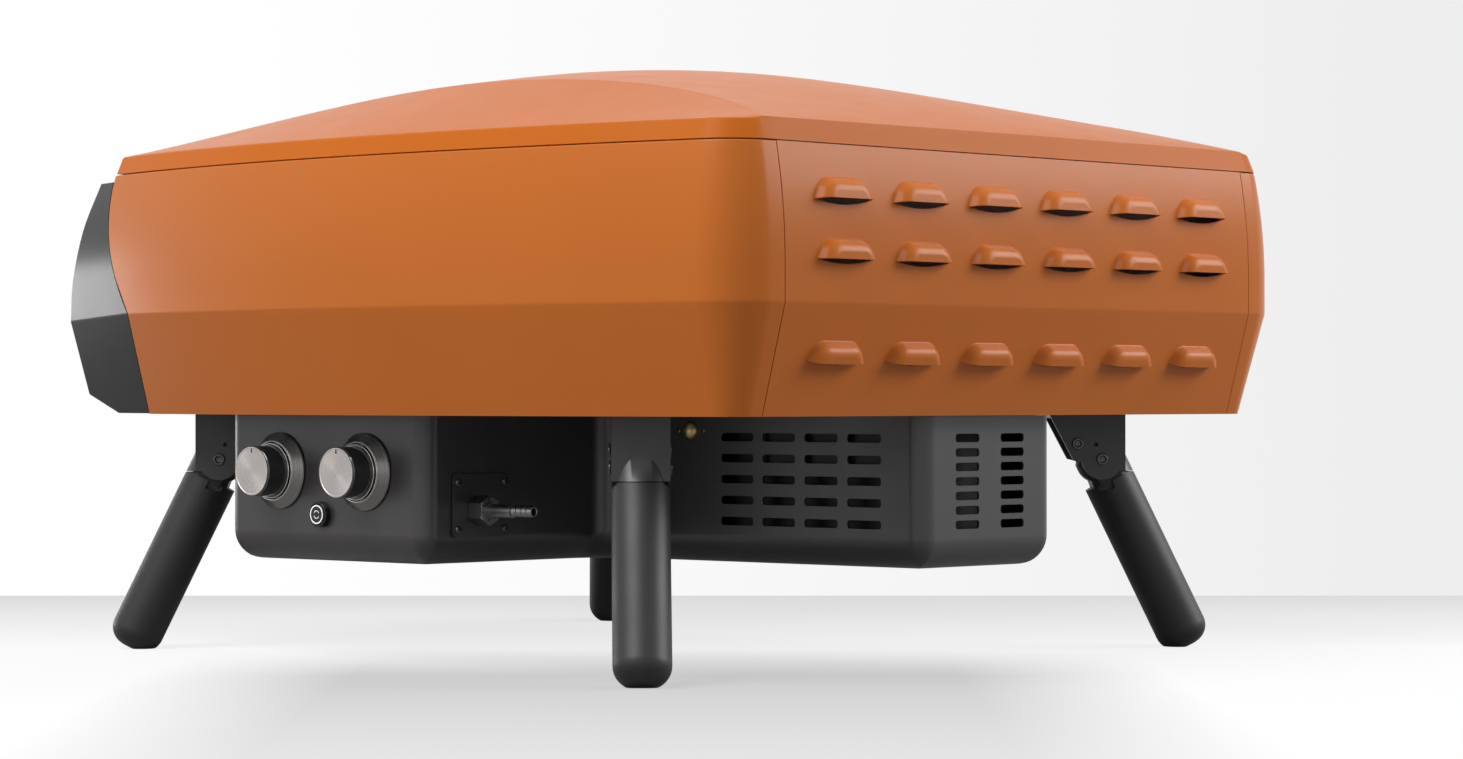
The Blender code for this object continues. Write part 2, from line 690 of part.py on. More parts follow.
def wall_levels():
    """Heights at which the body's wall is drawn."""
    upper = [BELLY_HEIGHT + (SEAM_HEIGHT - BELLY_HEIGHT) * i / 4 for i in range(5)]
    return [BODY_BOTTOM, CREASE_HEIGHT] + upper


# Body

def lid_shell():
    """The domed lid: straight rim, side facets up to the hips, and a crown between them."""
    outer = side_path(0, -FRONT_DEPTH)
    inner = side_path(-RIM_INSET, -FRONT_DEPTH + RIM_INSET)
    low = SEAM_HEIGHT + GAP + SHEET * RIM_INSET / (RIM_HEIGHT - SEAM_HEIGHT)
    rings = []
    for (x_low, y_low), (x_top, y_top) in zip(outer, inner):
        share = min(1.0, abs(y_top) / LID_DEPTH)
        hip_x = HIP_MIDDLE + (HIP_END - HIP_MIDDLE) * share ** HIP_SPREAD_POWER
        hip_x = min(hip_x, x_top - RIM_INSET)
        hip_z = RIM_HEIGHT + (HIP_HEIGHT - RIM_HEIGHT) * (1 - share ** 2)
        rise = CROWN_RISE * (1 - share ** CROWN_LENGTH_POWER)
        crown = []
        for i in range(CROWN_STEPS + 1):
            across = math.cos(math.pi * i / CROWN_STEPS)
            height = hip_z + rise * (1 - abs(across) ** CROWN_WIDTH_POWER)
            crown.append((hip_x * across, y_top, height))
        right = [(x_low, y_low, low), (x_top, y_top, RIM_HEIGHT)]
        left = [(-x_top, y_top, RIM_HEIGHT), (-x_low, y_low, low)]
        rings.append(right + crown + left)
    front = [(x, -FRONT_DEPTH, low) for x, y, z in rings[0]]
    front[:2] = [rings[0][0]] * 2
    front[-2:] = [rings[0][-1]] * 2
    rear = [(x, REAR_DEPTH, low) for x, y, z in rings[-1]]
    rear[:2] = [rings[-1][0]] * 2
    rear[-2:] = [rings[-1][-1]] * 2
    return sheet([front] + rings + [rear], SHEET, outwards=1)


def side_shell(side):
    """One side of the body, with flanges at its top, front edge and rear seam."""
    rings = []
    seam = PANEL_HALF_WIDTH + PANEL_SEAM / 2
    for height in wall_levels():
        front_y = edge_y(height)
        wall = side_path(wall_offset(height), front_y)[:-1]
        rear_y = REAR_DEPTH + wall_offset(height)
        lap = rear_y - SHEET - GAP
        front_fold = [(wall[0][0] - FRONT_FLANGE, front_y)]
        rear_fold = [(seam, rear_y), (seam, lap), (seam - REAR_FLANGE, lap)]
        rings.append([(side * x, y, height) for x, y in front_fold + wall + rear_fold])
    # The top flange runs between the two folds
    wall = side_path(-TOP_FLANGE, edge_y(SEAM_HEIGHT) + TOP_FLANGE)[:-1]
    rings.append(rings[-1][:1] + [(side * x, y, SEAM_HEIGHT) for x, y in wall] + rings[-1][-3:])
    return sheet(rings, SHEET, outwards=-side)


def panel_profile(inset):
    """Height profile of the rear wall."""
    return [(REAR_DEPTH + wall_offset(z) - inset, z) for z in wall_levels()]


def hood(inset, depth_inset, back, sill, form):
    """One louvre's bulge in its own axes: X along its width, Y out of the panel."""
    half, height = HOOD_HALF_WIDTH - inset, HOOD_HEIGHT - inset
    depth = HOOD_DEPTH - depth_inset
    rings = []
    for out, narrowing in [(-back, 0.0)] + [(depth * share, narrow) for share, narrow in form]:
        width = half - narrowing * HOOD_HALF_WIDTH
        top = height - 1.4 * narrowing * HOOD_HEIGHT
        foot = [(-width, -sill), (width, -sill)]
        corners = [(-width, -sill, 0), (width, -sill, 0), (width * 0.72, top, HOOD_CORNER),
                   (-width * 0.72, top, HOOD_CORNER)]
        outline = foot + rounded(corners, steps=2)[6:]
        rings.append([(x, out, z) for x, z in outline])
    return tidied(loft(rings))


def rear_panel():
    """The rear sheet with its rows of stamped louvres, open below."""
    half = PANEL_HALF_WIDTH - PANEL_SEAM / 2
    outline = panel_profile(0) + list(reversed(panel_profile(SHEET)))
    panel = plate([outline], -half, half, ALONG_X)
    places = []
    for share in HOOD_ROW_SHARES:
        height = BODY_BOTTOM + WALL_HEIGHT * share
        y = REAR_DEPTH + wall_offset(height)
        rise = wall_offset(height + HOOD_HEIGHT) - wall_offset(height)
        tilt = Matrix.Rotation(math.atan2(-rise, HOOD_HEIGHT), 4, "X")
        for column in range(HOOD_COLUMNS):
            x = (column - (HOOD_COLUMNS - 1) / 2) * HOOD_PITCH
            places.append(at(x, y, height) @ tilt)
    bulge = hood(0, 0, SHEET / 2, 0, HOOD_FORM_SHARES)
    hollow = hood(SHEET, SHEET, SHEET + OVERRUN, SHEET, HOOD_FORM_SHARES[-1:])
    panel = fused(panel, gathered([moved(bulge, place) for place in places]))
    return cut(panel, gathered([moved(hollow, place) for place in places]))


def between(points, value):
    """Straight interpolation in a list of points, by their last number."""
    for before, after in zip(points, points[1:]):
        if value <= after[-1]:
            share = (value - before[-1]) / (after[-1] - before[-1])
            return [a + (b - a) * share for a, b in zip(before, after)]
    return list(points[-1])


def bezel_corners():
    """The bezel's front corner from the bottom up: x, distance forwards, height."""
    levels = [(BEZEL_BOTTOM_INSET, BEZEL_BOTTOM_REACH, BEZEL_BOTTOM_SHARE),
              (BEZEL_CHIN_INSET, BEZEL_CHIN_REACH, BEZEL_CHIN_SHARE),
              (BEZEL_CREASE_INSET, BEZEL_CREASE_REACH, BEZEL_CREASE_SHARE),
              (BEZEL_BROW_INSET, BEZEL_BROW_REACH, BEZEL_BROW_SHARE),
              (BEZEL_SHOULDER_INSET, BEZEL_SHOULDER_REACH, BEZEL_SHOULDER_SHARE),
              (BEZEL_TOP_INSET, BEZEL_TOP_REACH, BEZEL_TOP_SHARE)]
    return [(HALF_WIDTH - inset, FRONT_DEPTH + reach, BODY_BOTTOM + WALL_HEIGHT * share)
            for inset, reach, share in levels]


def front_reach():
    """How far the bezel reaches forwards: in its middle, just under the mouth."""
    return between(bezel_corners()[1:3], MOUTH_BOTTOM)[1] + BEZEL_BOW


def bezel_rows(inset):
    """Right-hand points of the bezel, row by row: rear edge and front corner."""
    corners = bezel_corners()
    crease = corners[2][-1]
    edge = []
    for height in wall_levels():
        y = edge_y(height)
        edge.append((side_x(y) + wall_offset(height) * math.hypot(1, side_slope(y)), y, height))
    heights = [height for x, forwards, height in corners]
    heights += [z for z in wall_levels() if heights[0] < z < heights[-1] and z != CREASE_HEIGHT
                and min(abs(z - height) for height in heights) > BEZEL_SEAM]
    heights.sort()
    rows = []
    for height in heights:
        x, forwards, level = between(corners, height)
        # The crease climbs from the front corner to meet the crease of the side shells
        meeting = CREASE_HEIGHT if height == crease else height
        rear_x, rear_y, rear_level = between(edge, meeting)
        level, rear_level = [min(max(z, heights[0] + inset), heights[-1] - inset)
                             for z in (level, rear_level)]
        rows.append((rear_x, rear_y, rear_level, x, -forwards, level))
    return rows


def bezel_volume(inset, back):
    """The space inside the bezel's outer skin, drawn in by an inset."""
    rings = []
    front_steps = 6
    for rear_x, rear_y, rear_level, x, y, level in bezel_rows(inset):
        points = [(rear_x - inset, rear_y - BEZEL_SEAM + back, rear_level)]
        for i in range(front_steps + 1):
            across = 1 - 2 * i / front_steps
            bow = BEZEL_BOW * (1 - across ** 2)
            points.append(((x - inset) * across, y + inset - bow, level))
        points.append((-rear_x + inset, rear_y - BEZEL_SEAM + back, rear_level))
        rings.append(points)
    return tidied(loft(rings))


def mouth_block(margin, front_y, rear_y):
    """The mouth's rounded rectangle, run from one depth to another."""
    centre = (0, (MOUTH_BOTTOM + MOUTH_TOP) / 2)
    width = 2 * (MOUTH_HALF_WIDTH + margin)
    height = MOUTH_TOP - MOUTH_BOTTOM + 2 * margin
    outline = rectangle(centre, width, height, MOUTH_CORNER + margin)
    turn = Matrix(((1, 0, 0, 0), (0, 0, 1, 0), (0, 1, 0, 0), (0, 0, 0, 1)))
    return plate([outline], front_y, rear_y, turn)


def front_bezel():
    """The visor round the mouth, with a lip that runs back into the body."""
    outer = bezel_volume(0, 0)
    far_front = -front_reach() - OVERRUN
    lip = mouth_block(BEZEL_WALL, far_front, -MOUTH_LIP_DEPTH)
    inside = cut(bezel_volume(BEZEL_WALL, OVERRUN), lip)
    mouth = mouth_block(0, far_front, -MOUTH_LIP_DEPTH + OVERRUN)
    behind = mouth_block(BEZEL_WALL + OVERRUN, -MOUTH_LIP_DEPTH, -EDGE_DEPTH)
    return cut(outer, inside, mouth, behind)


def base_pan():
    """The pan that closes the body below and carries everything inside and under it."""
    offset = wall_offset(BODY_BOTTOM) - 2 * (SHEET + GAP)
    side = side_path(offset, -EDGE_DEPTH + SHEET + GAP)
    outline = side + [(-x, y) for x, y in reversed(side)]
    floor = plate([outline], BODY_BOTTOM, PAN_TOP)
    holes = [rod(BEARING_RADIUS + GAP, BODY_BOTTOM - OVERRUN, PAN_TOP + OVERRUN,
                 at(0, STONE_CENTRE_Y, 0))]
    for x, y in (main_mixer_foot(), booster_mixer_foot()):
        holes.append(rod(MIXER_RADIUS + OVERRUN, BODY_BOTTOM - OVERRUN, PAN_TOP + OVERRUN,
                         at(x, y, 0)))
    for x, y in igniter_places():
        holes.append(rod(IGNITER_RADIUS + GAP, BODY_BOTTOM - OVERRUN, PAN_TOP + OVERRUN,
                         at(x, y, 0)))
    wall_top = PAN_TOP + PAN_WALL_HEIGHT
    inner = [(x * (1 - SHEET / abs(x)), y) for x, y in outline]
    front_y, rear_y = min(y for x, y in outline), max(y for x, y in outline)
    inner = [(x, min(max(y, front_y + SHEET), rear_y - SHEET)) for x, y in inner]
    wall = plate([outline, inner], PAN_TOP - SHEET / 2, wall_top)
    return cut(fused(floor, wall), gathered(holes))


# Chamber

def chamber_dome(grow, base):
    """Rows of the chamber's roof and walls, as an open box that stands on its base."""
    half = CHAMBER_HALF_WIDTH + grow
    front, rear = -CHAMBER_FRONT - grow, CHAMBER_REAR + grow
    across, along = 6, 4
    rows = []
    for j in range(along + 1):
        v = -math.cos(math.pi * j / along)
        y = (front + rear) / 2 + (rear - front) / 2 * v
        row = []
        for i in range(across + 1):
            u = math.cos(math.pi * i / across)
            rise = CHAMBER_DOME_RISE * (1 - u * u) * (1 - 0.6 * v * v)
            row.append((half * u, y, CHAMBER_WALL_TOP + grow + rise))
        rows.append([(half, y, base)] + row + [(-half, y, base)])
    ends = []
    for row in (rows[0], rows[-1]):
        end = [(x, y, base) for x, y, z in row]
        ends.append(end)
    return [ends[0]] + rows + [ends[1]]


def chamber_liner():
    """The steel vault round the fire, open to the mouth."""
    shell = sheet(chamber_dome(0, FLOOR_HEIGHT + GAP), CHAMBER_SHEET, outwards=1)
    door = mouth_block(THROAT_SHEET + GAP, -CHAMBER_FRONT - OVERRUN,
                       -CHAMBER_FRONT + CHAMBER_SHEET + OVERRUN)
    return cut(shell, door)


def insulation_blanket():
    """The ceramic fibre blanket over the vault."""
    grow = INSULATION_AIR + INSULATION
    shell = sheet(chamber_dome(grow, PAN_TOP + GAP), INSULATION, outwards=1)
    door = mouth_block(THROAT_SHEET + GAP, -CHAMBER_FRONT - grow - OVERRUN,
                       -CHAMBER_FRONT + OVERRUN)
    return cut(shell, door)


def mouth_frame():
    """The throat between the bezel's lip and the vault."""
    front_y = -MOUTH_LIP_DEPTH + GAP
    rear_y = -CHAMBER_FRONT + CHAMBER_SHEET
    outer = mouth_block(THROAT_SHEET, front_y, rear_y)
    return cut(outer, mouth_block(0, front_y - OVERRUN, rear_y + OVERRUN))


def chamber_floor():
    """The steel floor of the chamber, on folded edges that stand on the pan."""
    half = CHAMBER_HALF_WIDTH
    low = PAN_TOP + GAP
    tray = box((-half, -CHAMBER_FRONT, low), (half, CHAMBER_REAR, FLOOR_HEIGHT))
    hollow = box((-half + FLOOR_SHEET, -CHAMBER_FRONT + FLOOR_SHEET, low - OVERRUN),
                 (half - FLOOR_SHEET, CHAMBER_REAR - FLOOR_SHEET, FLOOR_HEIGHT - FLOOR_SHEET))
    top = (FLOOR_HEIGHT - FLOOR_SHEET - OVERRUN, FLOOR_HEIGHT + OVERRUN)
    holes = [rod(BEARING_RADIUS + GAP, *top, at(0, STONE_CENTRE_Y, 0))]
    holes.append(rod(MIXER_RADIUS + GAP, *top, at(*main_burner_foot(), 0)))
    holes.append(rod(BOOSTER_MIXER_RADIUS + GAP, *top, at(*booster_foot(), 0)))
    for x, y in igniter_places():
        holes.append(rod(IGNITER_RADIUS + GAP, *top, at(x, y, 0)))
    return cut(tray, hollow, gathered(holes))


def pizza_stone():
    """The round stone, with eased edges."""
    high = STONE_BOTTOM + STONE_THICKNESS
    edge = STONE_RADIUS - STONE_ROUND
    profile = [(0, high), (edge, high), (STONE_RADIUS, high - STONE_ROUND),
               (STONE_RADIUS, STONE_BOTTOM + STONE_ROUND), (edge, STONE_BOTTOM), (0, STONE_BOTTOM)]
    return turned(profile, steps=40)


def stone_carrier():
    """The turntable: a pierced disc on a hub that takes the shaft."""
    low = CARRIER_BOTTOM + HUB_LENGTH
    high = low + CARRIER_SHEET
    bore = SHAFT_RADIUS + GAP
    profile = [(0, high), (CARRIER_RADIUS, high), (CARRIER_RADIUS, low), (HUB_RADIUS, low),
               (HUB_RADIUS, CARRIER_BOTTOM), (bore, CARRIER_BOTTOM), (bore, low), (0, low)]
    holes = []
    for i in range(CARRIER_HOLES):
        angle = math.tau * i / CARRIER_HOLES
        place = at(CARRIER_HOLE_CIRCLE * math.cos(angle), CARRIER_HOLE_CIRCLE * math.sin(angle), 0)
        holes.append(rod(CARRIER_HOLE_RADIUS, low - OVERRUN, high + OVERRUN, place, 10))
    return cut(turned(profile, steps=28), gathered(holes))


def shaft_ends():
    """Lowest and highest point of the turntable shaft."""
    low = MOTOR_TOP + MOTOR_BOSS + GAP + COUPLING_LENGTH - COUPLING_GRIP + GAP
    return low, CARRIER_BOTTOM + HUB_LENGTH - GAP


def turntable_shaft():
    """The shaft from the motor's coupling up to the carrier's hub."""
    return rod(SHAFT_RADIUS, *shaft_ends(), steps=TURN_STEPS)


def shaft_bearing():
    """The flanged bush that carries the turntable on the pan."""
    low = PAN_TOP + GAP
    bore = SHAFT_RADIUS + GAP
    bottom = BODY_BOTTOM - GAP
    profile = [(bore, BEARING_TOP), (BEARING_RADIUS, BEARING_TOP),
               (BEARING_RADIUS, low + BEARING_FLANGE),
               (BEARING_FLANGE_RADIUS, low + BEARING_FLANGE), (BEARING_FLANGE_RADIUS, low),
               (BEARING_RADIUS, low), (BEARING_RADIUS, bottom), (bore, bottom),
               (bore, BEARING_TOP)]
    return turned(profile)


def drive_coupling():
    """The collar that joins the motor's stub to the shaft."""
    low = MOTOR_TOP + MOTOR_BOSS + GAP
    high = low + COUPLING_LENGTH
    seat = high - COUPLING_GRIP
    bore = SHAFT_RADIUS + GAP
    profile = [(0, seat), (bore, seat), (bore, high), (COUPLING_RADIUS, high),
               (COUPLING_RADIUS, low), (STUB_RADIUS, low), (STUB_RADIUS, low - STUB_LENGTH),
               (0, low - STUB_LENGTH)]
    return turned(profile, steps=SMALL_TURN_STEPS)


def gear_motor():
    """The geared motor, upright under the turntable."""
    low = MOTOR_TOP - MOTOR_LENGTH
    boss_top = MOTOR_TOP + MOTOR_BOSS
    seat = boss_top - STUB_LENGTH - GAP
    bore = STUB_RADIUS + GAP
    waist = MOTOR_TOP - MOTOR_LENGTH / 3
    small = MOTOR_RADIUS - 2 * STRAP_SHEET
    profile = [(0, seat), (bore, seat), (bore, boss_top), (MOTOR_BOSS_RADIUS, boss_top),
               (MOTOR_BOSS_RADIUS, MOTOR_TOP), (MOTOR_RADIUS, MOTOR_TOP), (MOTOR_RADIUS, waist),
               (small, waist), (small, low), (0, low)]
    return turned(profile, steps=SMALL_TURN_STEPS)


def motor_bracket():
    """The strap that hangs the motor from the pan."""
    low = MOTOR_TOP + GAP
    high = BODY_BOTTOM - GAP
    inner, sheet_size = STRAP_HALF_WIDTH - STRAP_SHEET, STRAP_SHEET
    outer = STRAP_HALF_WIDTH
    half = [(inner, low + sheet_size), (inner, high), (outer + STRAP_FLANGE, high),
            (outer + STRAP_FLANGE, high - sheet_size), (outer, high - sheet_size), (outer, low)]
    outline = half + [(-x, y) for x, y in reversed(half)]
    turn = Matrix(((1, 0, 0, 0), (0, 0, 1, 0), (0, 1, 0, 0), (0, 0, 0, 1)))
    depth = STRAP_DEPTH / 2
    strap = plate([outline], -depth, depth, turn)
    hole = rod(MOTOR_BOSS_RADIUS + GAP, low - OVERRUN, low + sheet_size + OVERRUN)
    return cut(strap, hole)


# Burners, igniters and gas line

def main_burner_foot():
    """Where the main burner's mixer tube comes up."""
    return BURNER_SIDE_X, BURNER_FRONT_Y


def main_mixer_foot():
    """Where that tube passes the pan."""
    return BURNER_SIDE_X, BURNER_FRONT_Y


def booster_foot():
    """Where the booster's mixer tube meets its ring."""
    return BOOSTER_CIRCLE * math.cos(-math.pi / 4), STONE_CENTRE_Y - BOOSTER_CIRCLE * math.sin(math.pi / 4)


def booster_mixer_foot():
    """Where the booster's mixer tube passes the pan."""
    return MANIFOLD_X, BOOSTER_KNOB_Y


def igniter_places():
    """Plan places of the main and the booster igniter."""
    main = (BURNER_SIDE_X, BURNER_FRONT_Y - IGNITER_STANDOFF)
    booster = (0, STONE_CENTRE_Y - BOOSTER_CIRCLE - IGNITER_STANDOFF)
    return main, booster


def burner_line(offset):
    """Centre line of the U-shaped burner, or a line beside it."""
    x, front, rear = BURNER_SIDE_X - offset, BURNER_FRONT_Y, BURNER_REAR_Y - offset
    corners = [(x, front), (x, rear), (-x, rear), (-x, front)]
    return bent([(px, py, 0) for px, py in corners], BURNER_BEND - offset, 6)


def main_burner():
    """The burner tube round the rear half of the stone, on its posts."""
    line = [(x, y, BURNER_HEIGHT) for x, y, z in burner_line(0)]
    body = tube(line, BURNER_RADIUS)
    low = FLOOR_HEIGHT + GAP
    posts = []
    for x, y in ((-BURNER_SIDE_X, BURNER_FRONT_Y + BURNER_BEND / 2), (0, BURNER_REAR_Y)):
        posts.append(rod(BURNER_POST_RADIUS, low, BURNER_HEIGHT, at(x, y, 0), 8))
    return fused(body, gathered(posts))


def main_mixer_tube():
    """The tube that takes gas and air from the main valve up to the burner."""
    x, y = main_burner_foot()
    low = KNOB_HEIGHT + VALVE_RADIUS + GAP
    bend = low + MIXER_BEND
    start = (MANIFOLD_X, MAIN_KNOB_Y, low)
    line = bent([start, (MANIFOLD_X, MAIN_KNOB_Y, bend), (x, y, bend),
                 (x, y, BURNER_HEIGHT)], MIXER_BEND / 3)
    top = BURNER_HEIGHT - BURNER_RADIUS - GAP
    line[-1] = Vector((x, y, top))
    return tube(line, MIXER_RADIUS)


def booster_burner():
    """The burner ring under the stone, on two feet."""
    height = FLOOR_HEIGHT + GAP + BOOSTER_RADIUS
    count = 24
    line = []
    for i in range(count):
        angle = math.tau * i / count
        line.append((BOOSTER_CIRCLE * math.cos(angle),
                     STONE_CENTRE_Y + BOOSTER_CIRCLE * math.sin(angle), height))
    return tube(line, BOOSTER_RADIUS, closed=True)


def booster_mixer_tube():
    """The tube from the booster valve, between pan and floor, to the ring."""
    x, y = booster_foot()
    foot_x, foot_y = booster_mixer_foot()
    low = KNOB_HEIGHT + VALVE_RADIUS + GAP
    level = (PAN_TOP + FLOOR_HEIGHT - FLOOR_SHEET) / 2
    line = bent([(foot_x, foot_y, low), (foot_x, foot_y, level), (x, y, level),
                 (x, y, FLOOR_HEIGHT)], BOOSTER_MIXER_RADIUS * 1.15)
    line[-1] = Vector((x, y, FLOOR_HEIGHT - GAP))
    return tube(line, BOOSTER_MIXER_RADIUS)


def flame_shield():
    """The strip that stands between the burner and the stone."""
    line = [(x, y) for x, y, z in burner_line(SHIELD_OFFSET)]
    low = FLOOR_HEIGHT + GAP
    foot = [(x, y) for x, y, z in burner_line(SHIELD_OFFSET - SHIELD_FOOT)]
    rings = [[(x, y, low) for x, y in foot],
             [(x, y, low) for x, y in line],
             [(x, y, SHIELD_TOP) for x, y in line]]
    return sheet(rings, SHIELD_SHEET, outwards=1)


def igniter(place, top):
    """A ceramic igniter rod with its collar."""
    low = FLOOR_HEIGHT + GAP
    high = low + IGNITER_COLLAR
    bottom = BODY_BOTTOM - IGNITER_COLLAR
    profile = [(0, top), (IGNITER_RADIUS, top), (IGNITER_RADIUS, high),
               (IGNITER_COLLAR_RADIUS, high), (IGNITER_COLLAR_RADIUS, low),
               (IGNITER_RADIUS, low), (IGNITER_RADIUS, bottom), (0, bottom)]
    return turned(profile, at(*place, 0), 10)


def gas_manifold():
    """The pipe from the inlet to both valves."""
    height = KNOB_HEIGHT - VALVE_RADIUS - GAP - MANIFOLD_RADIUS
    inlet_y = ARM_REAR_Y - HOUSING_SHEET - BARB_STEM_INSIDE - GAP
    end_y = BOOSTER_KNOB_Y - 2 * MANIFOLD_RADIUS
    step_y = inlet_y - 3 * MANIFOLD_RADIUS
    line = bent([(INLET_X, inlet_y, INLET_HEIGHT), (INLET_X, inlet_y - MANIFOLD_RADIUS, INLET_HEIGHT),
                 (MANIFOLD_X, step_y, height), (MANIFOLD_X, end_y, height)], MANIFOLD_RADIUS)
    return tube(line, MANIFOLD_RADIUS)


def valve_front():
    """Where a valve's front face lies behind the arm's end wall."""
    return ARM_REACH - HOUSING_SHEET - VALVE_FRONT_INSET


def gas_valve():
    """A valve body along X, with a threaded neck through the wall and a bore for its rotor."""
    front = valve_front()
    rear = front - VALVE_LENGTH
    neck = ARM_REACH + DIAL_FLOOR - GAP
    bore = VALVE_BORE_RADIUS
    stem = STEM_RADIUS + GAP
    profile = [(0, front - VALVE_BORE_DEPTH), (bore, front - VALVE_BORE_DEPTH), (bore, front - GAP),
               (stem, front - GAP), (stem, neck), (VALVE_NECK_RADIUS, neck),
               (VALVE_NECK_RADIUS, front), (VALVE_RADIUS, front), (VALVE_RADIUS, rear), (0, rear)]
    return turned(profile, ALONG_X, SMALL_TURN_STEPS)


def valve_rotor():
    """The plug that turns inside a valve, with a socket for the stem."""
    rear = valve_front() - VALVE_BORE_DEPTH + GAP
    front = rear + ROTOR_LENGTH
    socket = STEM_RADIUS + GAP
    seat = front - ROTOR_LENGTH / 2
    profile = [(0, seat), (socket, seat), (socket, front), (ROTOR_RADIUS, front),
               (ROTOR_RADIUS, rear), (0, rear)]
    return turned(profile, ALONG_X, SMALL_TURN_STEPS)


def knob_with_stem():
    """A knob with the stem that reaches into its valve."""
    face = ARM_REACH + KNOB_STANDOFF
    back = face - KNOB_LENGTH
    rotor_seat = valve_front() - VALVE_BORE_DEPTH + GAP + ROTOR_LENGTH / 2
    tip = rotor_seat + KNOB_PUSH + GAP
    profile = [(0, face), (KNOB_RADIUS - KNOB_CHAMFER, face), (KNOB_RADIUS, face - KNOB_CHAMFER),
               (KNOB_RADIUS, back + KNOB_FLANGE), (KNOB_FLANGE_RADIUS, back + KNOB_FLANGE),
               (KNOB_FLANGE_RADIUS, back), (STEM_RADIUS, back), (STEM_RADIUS, tip), (0, tip)]
    return turned(profile, ALONG_X, 24)


def knob_bezel():
    """The conical ring round a knob, seated on the arm's face."""
    low = ARM_REACH + GAP
    floor = low + DIAL_FLOOR
    high = ARM_REACH + DIAL_LENGTH
    recess = DIAL_FRONT_RADIUS - DIAL_LIP
    bore = VALVE_NECK_RADIUS + GAP
    profile = [(bore, floor), (recess, floor), (recess, high), (DIAL_FRONT_RADIUS, high),
               (DIAL_BASE_RADIUS, low + DIAL_LIP), (DIAL_BASE_RADIUS, low), (bore, low),
               (bore, floor)]
    return turned(profile, ALONG_X, 24)


def switch_body():
    """The push-button's body, through the arm's end wall."""
    face = ARM_REACH + SWITCH_RIM
    seat = face - BUTTON_LENGTH - GAP
    bore = BUTTON_RADIUS + GAP
    low = ARM_REACH + GAP
    rear = ARM_REACH - HOUSING_SHEET - SWITCH_BODY_LENGTH
    profile = [(0, seat), (bore, seat), (bore, face), (SWITCH_RADIUS, face), (SWITCH_RADIUS, low),
               (SWITCH_BODY_RADIUS + GAP, low), (SWITCH_BODY_RADIUS + GAP, rear), (0, rear)]
    return turned(profile, ALONG_X, SMALL_TURN_STEPS)


def switch_button():
    """The button's cap."""
    face = ARM_REACH + SWITCH_RIM + BUTTON_PROUD
    back = ARM_REACH + SWITCH_RIM - BUTTON_LENGTH + BUTTON_TRAVEL
    return rod(BUTTON_RADIUS, back, face, ALONG_X)


def inlet_plate():
    """The plate round the gas inlet."""
    centre = (PLATE_CENTRE_HEIGHT, PLATE_CENTRE_X)
    outline = rectangle(centre, PLATE_HEIGHT, PLATE_WIDTH, PLATE_CORNER)
    hole = circle((INLET_HEIGHT, INLET_X), BARB_STEM_RADIUS + GAP)
    low = ARM_REAR_Y + GAP
    return plate([outline, hole], low, low + PLATE_THICKNESS, ALONG_Y)


def inlet_nut():
    """The hexagon nut that holds the inlet to its plate."""
    low = ARM_REAR_Y + GAP + PLATE_THICKNESS + GAP
    outline = arc((0, 0), NUT_FLATS / math.sqrt(3), 0, math.tau * 5 / 6, 5)
    hole = circle((0, 0), BARB_STEM_RADIUS + GAP)
    return plate([outline, hole], low, low + NUT_LENGTH, at(INLET_X, 0, INLET_HEIGHT) @ ALONG_Y)


def hose_barb():
    """The inlet stem with its ribbed hose end."""
    low = ARM_REAR_Y - HOUSING_SHEET - BARB_STEM_INSIDE
    shoulder = ARM_REAR_Y + 2 * GAP + PLATE_THICKNESS + NUT_LENGTH
    collar = shoulder + BARB_COLLAR_LENGTH
    tip = collar + BARB_PITCH * BARB_RIDGES
    profile = [(0, tip - BARB_BORE_DEPTH), (BARB_BORE_RADIUS, tip - BARB_BORE_DEPTH),
               (BARB_BORE_RADIUS, tip)]
    for i in range(BARB_RIDGES):
        high = tip - i * BARB_PITCH
        profile += [(BARB_RADIUS - BARB_RIDGE, high), (BARB_RADIUS, high - BARB_PITCH)]
    profile += [(BARB_COLLAR_RADIUS, collar), (BARB_COLLAR_RADIUS, shoulder),
                (BARB_STEM_RADIUS, shoulder), (BARB_STEM_RADIUS, low), (0, low)]
    return turned(profile, at(INLET_X, 0, INLET_HEIGHT) @ ALONG_Y, SMALL_TURN_STEPS)


def brass_port():
    """The domed brass port on the rear arm's wall."""
    face = REAR_ARM_HALF_WIDTH + GAP
    back = REAR_ARM_HALF_WIDTH - HOUSING_SHEET - PORT_SHANK
    dome = [(PORT_RADIUS * math.sin(a), face + PORT_PROUD * math.cos(a))
            for a in (0, math.pi / 6, math.pi / 3, math.pi / 2)]
    profile = dome + [(PORT_SHANK_RADIUS, face), (PORT_SHANK_RADIUS, back), (0, back)]
    return turned(profile, at(0, PORT_Y, PORT_HEIGHT) @ ALONG_X, SMALL_TURN_STEPS)


# Control housing

def housing_corners():
    """Plan corners of the control housing, counter-clockwise."""
    out, into = HOUSING_PLAN_RADIUS, HOUSING_INNER_RADIUS
    right = [(NOTCH_CENTRE_X, NOTCH_CENTRE_Y, into), (ARM_FRONT_INNER_X, ARM_FRONT_Y, into),
             (ARM_REACH, ARM_FRONT_Y, out), (ARM_REACH, ARM_REAR_Y, out),
             (REAR_ARM_HALF_WIDTH, ARM_REAR_Y, into), (REAR_ARM_HALF_WIDTH, REAR_ARM_END_Y, out)]
    return right + [(-x, y, radius) for x, y, radius in reversed(right)]


def slot(length, height, turn, depth):
    """A slot with round corners, for cutting a vent through a wall."""
    outline = rectangle((0, 0), length, height, height * VENT_CORNER_SHARE, steps=1)
    return plate([outline], -depth, depth, turn)


